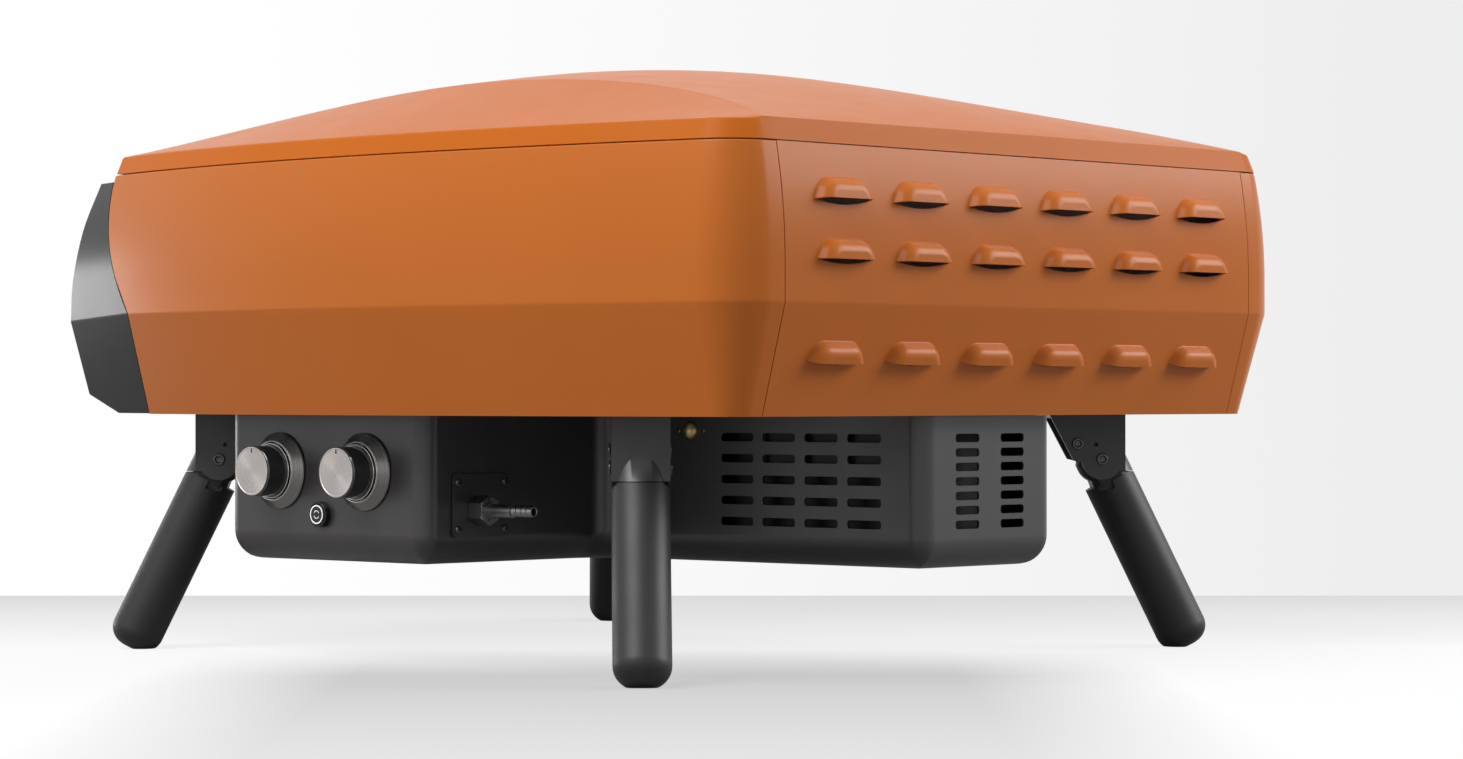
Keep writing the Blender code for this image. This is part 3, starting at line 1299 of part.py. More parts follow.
def housing_cuts():
    """Vents and holes in the housing's walls."""
    depth = HOUSING_SHEET + OVERRUN
    across = Matrix(((1, 0, 0, 0), (0, 0, -1, 0), (0, 1, 0, 0), (0, 0, 0, 1)))
    tools = []
    for side in (1, -1):
        x = side * (REAR_ARM_HALF_WIDTH - HOUSING_SHEET / 2)
        for column in range(SIDE_VENT_COLUMNS):
            for row in range(SIDE_VENT_ROWS):
                place = at(x, SIDE_VENT_LAST_Y - column * SIDE_VENT_PITCH_Y,
                           SIDE_VENT_FIRST_Z + row * SIDE_VENT_PITCH_Z)
                tools.append(slot(SIDE_VENT_LENGTH, SIDE_VENT_HEIGHT, place @ ALONG_X, depth))
        for row in range(REAR_VENT_ROWS):
            place = at(side * REAR_VENT_PITCH_X / 2, REAR_ARM_END_Y - HOUSING_SHEET / 2,
                       REAR_VENT_FIRST_Z + row * REAR_VENT_PITCH_Z)
            tools.append(slot(REAR_VENT_LENGTH, REAR_VENT_HEIGHT, place @ across, depth))
    ends = (ARM_REACH - HOUSING_SHEET - OVERRUN, ARM_REACH + OVERRUN)
    for y in (MAIN_KNOB_Y, BOOSTER_KNOB_Y):
        tools.append(rod(VALVE_NECK_RADIUS + GAP, *ends, at(0, y, KNOB_HEIGHT) @ ALONG_X))
    tools.append(rod(SWITCH_BODY_RADIUS + 2 * GAP, *ends, at(0, SWITCH_Y, SWITCH_HEIGHT) @ ALONG_X))
    wall = (ARM_REAR_Y - HOUSING_SHEET - OVERRUN, ARM_REAR_Y + OVERRUN)
    tools.append(rod(BARB_STEM_RADIUS + GAP, *wall, at(INLET_X, 0, INLET_HEIGHT) @ ALONG_Y))
    wall = (REAR_ARM_HALF_WIDTH - HOUSING_SHEET - OVERRUN, REAR_ARM_HALF_WIDTH + OVERRUN)
    tools.append(rod(PORT_SHANK_RADIUS + GAP, *wall, at(0, PORT_Y, PORT_HEIGHT) @ ALONG_X))
    door = rectangle((BATTERY_CENTRE_Y, BATTERY_CENTRE_HEIGHT), BATTERY_WIDTH + 2 * GAP,
                     BATTERY_HEIGHT + 2 * GAP, COVER_CORNER / 2)
    tools.append(plate([door], -ARM_REACH - OVERRUN, -ARM_REACH + HOUSING_SHEET + OVERRUN, ALONG_X))
    return gathered(tools)


def control_housing():
    """The deep pan under the body that holds the drive, the valves and the batteries."""
    levels = [(HOUSING_TOP, 0.0)]
    steps = 3
    for i in range(steps + 1):
        angle = math.pi / 2 * i / steps
        levels.append((HOUSING_BOTTOM + HOUSING_FILLET * (1 - math.sin(angle)),
                       HOUSING_FILLET * (1 - math.cos(angle))))
    corners = housing_corners()
    rings = [[(x, y, z) for x, y in rounded(corners, inset, 2)] for z, inset in levels]
    outer = tidied(loft(list(reversed(rings))))
    inner_levels = [(HOUSING_TOP + OVERRUN, HOUSING_SHEET)]
    for z, inset in levels[1::2]:
        inner_levels.append((max(z, HOUSING_BOTTOM + HOUSING_SHEET), inset + HOUSING_SHEET))
    inner_levels.append((HOUSING_BOTTOM + HOUSING_SHEET, levels[-1][1]))
    rings = [[(x, y, z) for x, y in rounded(corners, inset, 2)] for z, inset in inner_levels]
    inner = tidied(loft(list(reversed(rings))))
    return cut(outer, inner, housing_cuts())


def battery_holder():
    """The tray for the batteries, open towards the end of the left arm."""
    end = -ARM_REACH + HOUSING_SHEET
    y, z = BATTERY_WIDTH / 2, BATTERY_HEIGHT / 2
    low = (end, BATTERY_CENTRE_Y - y, BATTERY_CENTRE_HEIGHT - z)
    high = (end + BATTERY_LENGTH, BATTERY_CENTRE_Y + y, BATTERY_CENTRE_HEIGHT + z)
    wall = BATTERY_WALL
    hollow = box((low[0] - OVERRUN, low[1] + wall, low[2] + wall),
                 (high[0] - wall, high[1] - wall, high[2] - wall))
    return cut(box((low[0] + GAP, low[1], low[2]), high), hollow)


def battery_cover():
    """The cover over the battery holder, on the arm's end face."""
    outline = rectangle((BATTERY_CENTRE_Y, BATTERY_CENTRE_HEIGHT), BATTERY_WIDTH + 2 * COVER_MARGIN,
                        BATTERY_HEIGHT + 2 * COVER_MARGIN, COVER_CORNER)
    face = -ARM_REACH - GAP
    return plate([outline], face - COVER_THICKNESS, face, ALONG_X)


def spark_module():
    """The ignition module, hung under the pan."""
    top = BODY_BOTTOM - GAP
    x, y = -MODULE_SIDE_OFFSET, ARM_REAR_Y - MODULE_ROOM
    return box((x - MODULE_LENGTH / 2, y - MODULE_WIDTH / 2, top - MODULE_HEIGHT),
               (x + MODULE_LENGTH / 2, y + MODULE_WIDTH / 2, top))


# Folding legs, in axes with X outwards and the origin at the top of the bracket's outer face

def leg_axes():
    """The leg's own axes at rest: Z up along its tube, from the pivot."""
    return Matrix.Rotation(-LEG_LEAN, 4, "Y")


def bracket():
    """The cast bracket: a channel with lobed cheeks and a cuff that the tube comes out of."""
    side = [(0, 0), (-BRACKET_LENGTH, 0), (-CHEEK_TOE, -CHEEK_TOE_DROP)]
    centre = (-PIVOT_INSET, -PIVOT_DROP)
    end = -math.asin((BRACKET_DROP - PIVOT_DROP) / CHEEK_LOBE)
    side += arc(centre, CHEEK_LOBE, -math.radians(172), end, 6)
    side += [(0, -BRACKET_DROP)]
    turn = Matrix(((1, 0, 0, 0), (0, 0, 1, 0), (0, 1, 0, 0), (0, 0, 0, 1)))
    half = BRACKET_HALF_WIDTH
    body = plate([side], -half, half, turn)
    pivot = at(-PIVOT_INSET, 0, -PIVOT_DROP)
    tube_axes = pivot @ leg_axes()
    reach = 3 * LEG_RADIUS
    cuff = rod(LEG_RADIUS, -reach, reach / 3, tube_axes, TURN_STEPS)
    window = box((-BRACKET_WALL, -half, -BRACKET_DROP), (LEG_RADIUS, half, -OVERRUN))
    body = fused(body, overlap(cuff, window))
    inside = half - BRACKET_WALL
    hollow = box((-BRACKET_LENGTH - OVERRUN, -inside, -2 * BRACKET_DROP),
                 (-BRACKET_WALL, inside, -BRACKET_WALL))
    bore = rod(TONGUE_RADIUS + CUFF_CLEARANCE, -reach, 0, tube_axes, TURN_STEPS)
    through = 2 * half
    holes = [rod(PIVOT_PIN_RADIUS + GAP, -through, through, pivot @ ALONG_Y, 10),
             rod(STOP_PIN_RADIUS + GAP, -through, through,
                 at(-STOP_PIN_INSET, 0, -STOP_PIN_DROP) @ ALONG_Y, 10)]
    return cut(body, hollow, bore, gathered(holes))


def leg():
    """A leg: full round tube with a flat-cut round foot, and a slim tongue on the pivot."""
    end = -LEG_LENGTH
    arc_points = arc((LEG_RADIUS - LEG_END_ROUND, end + LEG_END_ROUND), LEG_END_ROUND,
                     0, -math.pi / 2, 2)
    profile = [(0, -LEG_START), (LEG_RADIUS, -LEG_START)] + arc_points + [(0, end)]
    body = turned(profile, leg_axes())
    # The tube stops below the bracket's cuff
    above = -(BRACKET_DROP - PIVOT_DROP) - CUFF_CLEARANCE
    body = cut(body, box((PIVOT_INSET - BRACKET_WALL, -2 * LEG_RADIUS, above),
                         (3 * LEG_RADIUS, 2 * LEG_RADIUS, 0)))
    # Relief on both sides for the bracket's cheeks, on the inner half
    inside = BRACKET_HALF_WIDTH - BRACKET_WALL - CUFF_CLEARANCE
    for side in (1, -1):
        wedge = arc((0, 0), CHEEK_RELIEF, -math.pi / 2, -math.pi, 4)
        wedge = [(x, y) for x, y in wedge] + [(0, 0)]
        turn = leg_axes() @ Matrix(((1, 0, 0, 0), (0, 0, 1, 0), (0, 1, 0, 0), (0, 0, 0, 1)))
        low, high = sorted((side * inside, side * 2 * LEG_RADIUS))
        body = cut(body, plate([wedge], low, high, turn))
    # The tongue that turns on the pivot pin
    outline = arc((0, 0), TONGUE_TOP, 0, math.pi * 0.85, 5)
    outline += [(-TONGUE_INNER, -LEG_START - OVERRUN), (TONGUE_TOP, -LEG_START - OVERRUN)]
    turn = leg_axes() @ Matrix(((1, 0, 0, 0), (0, 0, 1, 0), (0, 1, 0, 0), (0, 0, 0, 1)))
    tongue = plate([outline], -inside, inside, turn)
    core = rod(TONGUE_RADIUS, -LEG_START - 2 * OVERRUN, 2 * TONGUE_TOP, leg_axes(), 20)
    body = fused(body, overlap(tongue, core))
    hole = rod(PIVOT_PIN_RADIUS + GAP, -LEG_RADIUS, LEG_RADIUS, ALONG_Y, 10)
    reach = 3 * LEG_LENGTH
    ground = box((-reach, -reach, -reach), (reach, reach, -PIVOT_HEIGHT))
    return cut(body, hole, ground)


def pin(radius, inset, drop):
    """A pin across a bracket, with a low head on each side."""
    half = BRACKET_HALF_WIDTH + GAP
    head = PIN_HEAD_RADIUS
    out = half + PIN_HEAD
    profile = [(0, out), (head, out), (head, half), (radius, half), (radius, -half), (head, -half),
               (head, -out), (0, -out)]
    return turned(profile, at(-inset, 0, -drop) @ ALONG_Y, 10)


# Materials and placing

MATERIALS = {
    "orange_enamel": ((0.62, 0.17, 0.035), 0.38, 0.0),
    "charcoal_enamel": ((0.055, 0.052, 0.053), 0.40, 0.0),
    "black_enamel": ((0.022, 0.022, 0.024), 0.45, 0.0),
    "leg_enamel": ((0.026, 0.026, 0.028), 0.40, 0.0),
    "galvanised_steel": ((0.45, 0.46, 0.47), 0.45, 1.0),
    "stainless_steel": ((0.62, 0.61, 0.59), 0.32, 1.0),
    "brushed_steel": ((0.66, 0.63, 0.60), 0.30, 1.0),
    "dark_steel": ((0.12, 0.12, 0.12), 0.35, 1.0),
    "brass": ((0.62, 0.47, 0.24), 0.35, 1.0),
    "ceramic_fibre": ((0.78, 0.77, 0.73), 0.95, 0.0),
    "cordierite": ((0.72, 0.62, 0.48), 0.90, 0.0),
    "white_ceramic": ((0.85, 0.84, 0.80), 0.50, 0.0),
    "black_plastic": ((0.018, 0.018, 0.018), 0.50, 0.0),
    "chromed_steel": ((0.55, 0.55, 0.55), 0.15, 1.0),
}


def material(name):
    """The named material, made on first use."""
    found = bpy.data.materials.get(name)
    if found:
        return found
    colour, roughness, metallic = MATERIALS[name]
    made = bpy.data.materials.new(name)
    made.use_nodes = True
    shader = made.node_tree.nodes["Principled BSDF"]
    shader.inputs["Base Color"].default_value = (*colour, 1)
    shader.inputs["Roughness"].default_value = roughness
    shader.inputs["Metallic"].default_value = metallic
    return made


def add(name, mesh, finish, parent):
    """Puts a piece into the oven's collection with its own material."""
    mesh = mesh.copy()
    mesh.name = name
    mesh.shade_smooth()
    mesh.set_sharp_from_angle(angle=SHARP_ANGLE)
    mesh.materials.clear()
    own = material(finish).copy()
    own.name = name + "_finish"
    mesh.materials.append(own)
    obj = bpy.data.objects.new(name, mesh)
    bpy.data.collections["portable_pizza_oven"].objects.link(obj)
    obj.parent = parent
    return obj


def empty(name, parent, turn):
    """A point that pieces hang on, such as a joint's axis."""
    obj = bpy.data.objects.new(name, None)
    bpy.data.collections["portable_pizza_oven"].objects.link(obj)
    obj.parent = parent
    obj.matrix_local = turn
    return obj


def add_body(frame):
    """Shells, pan, bezel and panel."""
    add("lid_shell", lid_shell(), "orange_enamel", frame)
    add("side_shell_right", side_shell(1), "orange_enamel", frame)
    add("side_shell_left", side_shell(-1), "orange_enamel", frame)
    add("rear_panel", rear_panel(), "orange_enamel", frame)
    add("front_bezel", front_bezel(), "charcoal_enamel", frame)
    add("base_pan", base_pan(), "galvanised_steel", frame)


def add_chamber(frame):
    """Vault, blanket, floor, throat and everything on the turntable's axis."""
    add("chamber_liner", chamber_liner(), "stainless_steel", frame)
    add("insulation_blanket", insulation_blanket(), "ceramic_fibre", frame)
    add("mouth_frame", mouth_frame(), "stainless_steel", frame)
    add("chamber_floor", chamber_floor(), "stainless_steel", frame)
    spindle = empty("spindle", frame, at(0, STONE_CENTRE_Y, 0))
    add("pizza_stone", pizza_stone(), "cordierite", spindle)
    add("stone_carrier", stone_carrier(), "stainless_steel", spindle)
    add("turntable_shaft", turntable_shaft(), "stainless_steel", spindle)
    add("drive_coupling", drive_coupling(), "brass", spindle)
    add("shaft_bearing", shaft_bearing(), "brass", spindle)
    add("gear_motor", gear_motor(), "galvanised_steel", spindle)
    add("motor_bracket", motor_bracket(), "galvanised_steel", spindle)


def add_fire(frame):
    """Burners, their tubes, the flame shield and the igniters."""
    add("main_burner", main_burner(), "stainless_steel", frame)
    add("main_mixer_tube", main_mixer_tube(), "stainless_steel", frame)
    add("booster_burner", booster_burner(), "stainless_steel", frame)
    add("booster_mixer_tube", booster_mixer_tube(), "stainless_steel", frame)
    add("flame_shield", flame_shield(), "stainless_steel", frame)
    main, booster = igniter_places()
    add("main_igniter", igniter(main, BURNER_HEIGHT), "white_ceramic", frame)
    under_carrier = CARRIER_BOTTOM - 2 * GAP
    add("booster_igniter", igniter(booster, under_carrier), "white_ceramic", frame)
    add("spark_module", spark_module(), "black_plastic", frame)


def add_controls(frame):
    """Housing, gas line, valves, knobs, switch, inlet and battery box."""
    add("control_housing", control_housing(), "black_enamel", frame)
    add("gas_manifold", gas_manifold(), "galvanised_steel", frame)
    for name, y in (("main", MAIN_KNOB_Y), ("booster", BOOSTER_KNOB_Y)):
        axis = empty(name + "_knob_axis", frame, at(0, y, KNOB_HEIGHT))
        add(name + "_valve", gas_valve(), "brass", axis)
        add(name + "_valve_rotor", valve_rotor(), "brass", axis)
        add(name + "_knob", knob_with_stem(), "brushed_steel", axis)
        add(name + "_knob_bezel", knob_bezel(), "dark_steel", axis)
    push = empty("switch_axis", frame, at(0, SWITCH_Y, SWITCH_HEIGHT))
    add("switch_body", switch_body(), "black_plastic", push)
    add("switch_button", switch_button(), "black_plastic", push)
    add("inlet_plate", inlet_plate(), "black_enamel", frame)
    add("inlet_nut", inlet_nut(), "dark_steel", frame)
    add("hose_barb", hose_barb(), "dark_steel", frame)
    add("brass_port", brass_port(), "brass", frame)
    add("battery_holder", battery_holder(), "black_plastic", frame)
    add("battery_cover", battery_cover(), "black_plastic", frame)


def add_legs(frame):
    """Four brackets, each with its leg and its two pins."""
    bracket_mesh, leg_mesh = bracket(), leg()
    pivot_pin = pin(PIVOT_PIN_RADIUS, PIVOT_INSET, PIVOT_DROP)
    stop_pin = pin(STOP_PIN_RADIUS, STOP_PIN_INSET, STOP_PIN_DROP)
    corners = [("rear_right", REAR_LEG_X, REAR_LEG_Y, LEG_AZIMUTH),
               ("rear_left", -REAR_LEG_X, REAR_LEG_Y, math.pi - LEG_AZIMUTH),
               ("front_right", FRONT_LEG_X, -FRONT_LEG_Y, -LEG_AZIMUTH),
               ("front_left", -FRONT_LEG_X, -FRONT_LEG_Y, LEG_AZIMUTH - math.pi)]
    for name, x, y, azimuth in corners:
        mount = empty(name + "_leg_mount", frame,
                      at(x, y, HOUSING_TOP) @ Matrix.Rotation(azimuth, 4, "Z"))
        pivot = empty(name + "_leg_pivot", mount, at(-PIVOT_INSET, 0, -PIVOT_DROP))
        add("leg_bracket_" + name, bracket_mesh, "leg_enamel", mount)
        add("leg_" + name, leg_mesh, "leg_enamel", pivot)
        add("pivot_pin_" + name, pivot_pin, "dark_steel", mount)
        add("stop_pin_" + name, stop_pin, "dark_steel", mount)


def build():
    """Builds the whole oven in an emptied scene."""
    for obj in list(bpy.data.objects):
        bpy.data.objects.remove(obj)
    for name in ("portable_pizza_oven", "cutters"):
        collection = bpy.data.collections.new(name)
        bpy.context.scene.collection.children.link(collection)
    frame = empty("oven_frame", None, at(0, (front_reach() - REAR_REACH) / 2, 0))
    add_body(frame)
    add_chamber(frame)
    add_fire(frame)
    add_controls(frame)
    add_legs(frame)


build()
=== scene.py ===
import json
from math import acos, asin, atan, atan2, cos, hypot, pi, radians, sin, sqrt, tan, tau

import bmesh
import bpy
from mathutils import Matrix, Vector


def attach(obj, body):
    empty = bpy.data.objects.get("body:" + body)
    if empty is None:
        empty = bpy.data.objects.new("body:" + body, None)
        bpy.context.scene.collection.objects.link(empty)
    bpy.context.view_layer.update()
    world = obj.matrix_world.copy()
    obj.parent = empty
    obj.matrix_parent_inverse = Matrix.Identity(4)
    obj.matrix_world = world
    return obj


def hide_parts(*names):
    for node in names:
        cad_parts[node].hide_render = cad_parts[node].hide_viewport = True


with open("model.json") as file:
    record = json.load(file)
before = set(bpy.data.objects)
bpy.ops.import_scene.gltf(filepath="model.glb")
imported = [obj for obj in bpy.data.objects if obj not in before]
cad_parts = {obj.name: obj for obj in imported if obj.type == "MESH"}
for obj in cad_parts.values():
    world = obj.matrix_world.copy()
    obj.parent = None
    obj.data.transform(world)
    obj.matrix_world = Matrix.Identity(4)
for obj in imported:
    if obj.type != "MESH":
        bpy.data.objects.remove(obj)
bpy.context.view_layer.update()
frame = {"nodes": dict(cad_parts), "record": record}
NODES = frame["nodes"]
MOUNTS = {mount["name"]: mount["pos_m"] for mount in frame["record"]["mounts"]}

# Place of the oven's own axes, whose stone lies 30 mm ahead of their origin
SHIFT = MOUNTS["stone_top"][1] + 0.03

# Camera and stage
YAW, PITCH, LENS = radians(47.45), radians(0.213), 99.09
CAMERA = (2.1223, 1.993, 0.1853)
FLOOR_REACH, FLOOR_NEAR, FLOOR_SIDE = 3.71, 6.0, 7.0
# Lamps: azimuth and elevation in degrees, distance and size in metres, power in watts
LAMPS = (
    ("key", -2, 45, 3.0, (1.9, 1.9), 80),
    ("rear_softbox", 137.5, 25, 3.0, (2.0, 1.3), 56),
    ("front_strip", -86, 0.8, 3.0, (0.9, 0.3), 6.5),
)
FILL = 0.27
# Floor paper: its colour to the rays that see it, and to all others
PAPER, PAPER_UNSEEN = (0.9, 0.898, 0.895), (0.26, 0.26, 0.26)
# Shares of that colour and of its own glow, for camera rays and for the others that see it
PAPER_SHARES, GLOW_SHARES = (0.7, 0.3), (0.76, 0.06)
# Its tones: value at the start and the end, then start and end in metres from below the camera
FAR_TONE = (1.0, 0.73, 2.96, 3.71)
# Painted shadow on the floor: a soft grey patch before the oven, given as its ranges across, towards its far
# end and in depth, and its shift sideways
SHADOW_PATCH_SIDES, SHADOW_PATCH_END, SHADOW_PATCH_DEPTH = (1, 0, 0.2, 0.34), (1, 0, 2.66, 2.92), (0.22, 0.36, 2.05, 2.6)
SHADOW_PATCH_SHIFT = 0.05
# Backdrop: where it turns from white to grey, left to right, and that grey
BACKDROP_FADE, BACKDROP_GREY = (-0.12, 0.16), (0.855, 0.855, 0.855)
# Looks
COAT_ROUGHNESS, BRUSH_RANGE = 0.08, (0.3, 0.7)

# Sizes of the oven in metres, as in the CAD, with the louvres' rows as in the photo
GAP, OVERRUN, SHEET, THIN_SHEET = 0.0003, 0.002, 0.0012, 0.001
BOTTOM, CREASE, BELLY, SEAM, RIM = 0.1713, 0.2432, 0.268, 0.3444, 0.3579
HIP_RISE, CROWN_RISE = 0.0428, 0.0175
HIP_CURVE, RISE_CURVE, CROWN_CURVE = 3.24, 1.275, 1.742
HALF_WIDTH, FRONT_DEPTH, REAR_DEPTH = 0.3129, 0.313, 0.311
FRONT_NARROWING, REAR_NARROWING, CORNER_RADIUS = 0.0428, 0.0309, 0.033
BULGE, TUCK = 0.0075, 0.0195
EDGE_DEPTH, EDGE_SWEEP, SWEEP_SHARE = 0.281, 0.0374, 0.78
FLANGE, TOP_FLANGE = 0.012, 0.01
RIM_INSET, FRONT_INSET = 0.005, 0.0015
HIP_MIDDLE, HIP_END = 0.1909, 0.2602
PANEL_HALF, PANEL_GAP = 0.2484, 0.00025
HOOD_HALF, HOOD_TOP_HALF, HOOD_HEIGHT, HOOD_DEPTH, HOOD_CORNER = 0.0262, 0.0199, 0.014, 0.0088, 0.012
HOOD_DROP, HOOD_COLUMNS, HOOD_PITCH = 0.003, 6, 0.0767
# Each row's height of lip, and its hoods' share of the full height
HOOD_ROWS = ((0.3087, 0.98), (0.2708, 0.9), (0.2066, 0.89))
BEZEL_CORNERS = ((0.251, 0.335, 0.1717), (0.2418, 0.381, 0.1855), (0.2556, 0.3856, 0.239),
                 (0.259, 0.379, 0.268), (0.2602, 0.365, 0.3062), (0.261, 0.343, 0.3395))
BEZEL_WALL, BEZEL_BOW, BEZEL_SEAM = 0.0025, 0.00798, 0.0004
MOUTH_HALF, MOUTH_LOW, MOUTH_TOP, MOUTH_CORNER, LIP_DEPTH = 0.2, 0.2236, 0.3095, 0.012, 0.325
CHAMBER_HALF, CHAMBER_FRONT, CHAMBER_REAR, CHAMBER_TOP, DOME_RISE = 0.242, 0.256, 0.258, 0.322, 0.048
FLOOR, SHIELD_TOP, SHIELD_FOOT, SHIELD_WALL = 0.1892, 0.232, 0.0075, 0.012
STONE_Y, STONE_RADIUS, STONE_LOW, STONE_THICKNESS = -0.03, 0.205, 0.2086, 0.015
BURNER_X, BURNER_FRONT, BURNER_REAR, BURNER_HEIGHT, BURNER_RADIUS, BURNER_BEND = (
    0.224, -0.05, 0.228, 0.24, 0.007, 0.06)
HOUSING_TOP, HOUSING_BOTTOM, HOUSING_SHEET, HOUSING_FILLET = 0.171, 0.0686, 0.0015, 0.0205
ARM_REACH, ARM_FRONT, ARM_REAR, ARM_INNER = 0.2466, -0.2173, -0.012, 0.185
REAR_ARM, REAR_ARM_END = 0.0705, 0.2819
VENT_HEIGHT, END_VENT_X = 0.0058, 0.024
VENT_YS = [0.1149 + 0.0385 * i for i in range(4)]
VENT_ZS = [0.0978 + 0.0145 * i for i in range(5)]
END_VENT_ZS = [0.0979 + 0.0097 * i for i in range(7)]
KNOB_HEIGHT, KNOB_YS = 0.1317, (("main", -0.0725), ("booster", -0.1607))
KNOB_RADIUS, KNOB_FACE, KNOB_LENGTH, KNOB_FLANGE = 0.0177, 0.0266, 0.0195, 0.0192
RING_HEIGHT = 0.0076
SWITCH_Y, SWITCH_HEIGHT, SWITCH_RIM = -0.1165, 0.1017, 0.0045
INLET_X, INLET_HEIGHT, NUT_SEAT = 0.199, 0.1056, 0.0026
PORT_Y, PORT_HEIGHT = 0.0714, 0.1601
BATTERY_Y, BATTERY_HEIGHT = -0.1045, 0.125
LEG_LEAN, LEG_RADIUS, LEG_LENGTH, LEG_START = radians(25.8), 0.019, 0.152, 0.017
PIVOT_INSET, PIVOT_DROP, STOP_INSET, STOP_DROP, LOBE_RADIUS = 0.017, 0.033, 0.035, 0.0217, 0.015
BRACKET_HALF, BRACKET_WALL, BRACKET_DROP, BRACKET_LENGTH = 0.019, 0.003, 0.0415, 0.056
LEGS = (("rear_right", 0.2554, 0.2004, 45), ("rear_left", -0.2554, 0.2004, 135),
        ("front_right", 0.2177, -0.2849, -45), ("front_left", -0.2177, -0.2849, -135))
SIDES = (("right", 1), ("left", -1))
# Places across the lid and the vault, closer together at the sides
ACROSS = [cos(pi * i / 32) for i in range(33)]

# Turns that carry a drawn or turned shape to another axis
UPRIGHT = Matrix.Identity(4)
ALONG_X = Matrix(((0, 0, 1), (1, 0, 0), (0, 1, 0))).to_4x4()
ALONG_Y = Matrix(((0, 1, 0), (0, 0, 1), (1, 0, 0))).to_4x4()
FACING_Y = Matrix(((1, 0, 0), (0, 0, 1), (0, 1, 0))).to_4x4()
FACING_BACK = Matrix(((1, 0, 0), (0, 0, -1), (0, 1, 0))).to_4x4()


# Materials

def new_material(name):
    """An empty node material, its tree and its Principled shader."""
    made = bpy.data.materials.new(name)
    made.use_nodes = True
    return made, made.node_tree, made.node_tree.nodes["Principled BSDF"]


def fill(made, values):
    """Gives a node its settings and inputs, which are values or outputs of other nodes."""
    for key, value in values.items():
        if isinstance(key, str) and hasattr(made, key):
            setattr(made, key, value)
            continue
        socket = made.inputs[key.replace("_", " ") if isinstance(key, str) else key]
        if isinstance(value, bpy.types.NodeSocket):
            made.id_data.links.new(value, socket)
        elif socket.type == "RGBA":
            socket.default_value = (*value, 1)
        else:
            socket.default_value = value
    return made


def node(tree, kind, *inputs, **values):
    """A new shader node, with its inputs in order or by name."""
    return fill(tree.nodes.new("ShaderNode" + kind), {**dict(enumerate(inputs)), **values})


def noise(tree, scale, detail):
    """Noise in the object's own space."""
    place = node(tree, "TexCoord").outputs["Object"]
    return node(tree, "TexNoise", Vector=place, Scale=scale, Detail=detail).outputs["Fac"]


def rings_about_x(tree, scale):
    """Fine concentric lines about an object's X axis."""
    place = node(tree, "TexCoord").outputs["Object"]
    flat = node(tree, "VectorMath", place, (0, 1, 1), operation="MULTIPLY").outputs["Vector"]
    radius = node(tree, "VectorMath", flat, operation="LENGTH").outputs["Value"]
    made = node(tree, "TexNoise", noise_dimensions="1D", W=radius, Scale=scale, Detail=2.0)
    return made.outputs["Fac"]


def ranged(tree, value, low, high, start=0.0, end=1.0):
    """A value carried from one range to another."""
    return node(tree, "MapRange", value, start, end, low, high).outputs["Result"]


def mixed(tree, share, a, b):
    """A mix of two colours."""
    return fill(node(tree, "Mix", share, data_type="RGBA"), {6: a, 7: b}).outputs[2]


def bump(tree, height, distance):
    """Fine relief from a height."""
    return node(tree, "Bump", Height=height, Distance=distance, Strength=1.0).outputs["Normal"]


def grey(level):
    return (level,) * 3


def finish(name, look, drift, gloss, grain, relief, **values):
    """A look whose colour, roughness and relief each follow a noise, given as scale and detail."""
    colour, darker, roughness = look
    made, tree, shader = new_material(name)
    fill(shader, {
        "Base Color": mixed(tree, noise(tree, *drift), colour, darker),
        "Roughness": ranged(tree, noise(tree, *gloss), *roughness),
        "Normal": bump(tree, noise(tree, *grain), relief), **values})
    return made


def enamel(name, look, specular, grain=1100, relief=0.0000015, coat=0.0):
    """A powder-coated finish: slight colour drift, uneven gloss, fine orange peel."""
    return finish(name, look, (14, 0), (35, 0), (grain, 2), relief, Coat_Weight=coat,
                  Coat_Roughness=COAT_ROUGHNESS, Specular_IOR_Level=specular)


def metal(name, look, relief=0.00001):
    """A bare metal with uneven polish."""
    return finish(name, look, (30, 3), (300, 4), (600, 2), relief, Metallic=1.0)


def spun(name, look, anisotropic):
    """A metal brushed in circles about the piece's X axis."""
    colour, darker, roughness = look
    made, tree, shader = new_material(name)
    lines = rings_about_x(tree, 2600)
    fill(shader, {
        "Base Color": mixed(tree, ranged(tree, lines, 0, 1, *BRUSH_RANGE), colour, darker),
        "Roughness": ranged(tree, lines, *roughness, *BRUSH_RANGE),
        "Tangent": node(tree, "Tangent", direction_type="RADIAL", axis="X").outputs["Tangent"],
        "Normal": bump(tree, lines, 0.000012), "Anisotropic": anisotropic, "Metallic": 1.0})
    return made


def matt(name, look, grain=120, relief=0.0002):
    """A dull, grainy finish."""
    return finish(name, look, (grain, 5), (grain / 2, 3), (grain * 3, 3), relief)


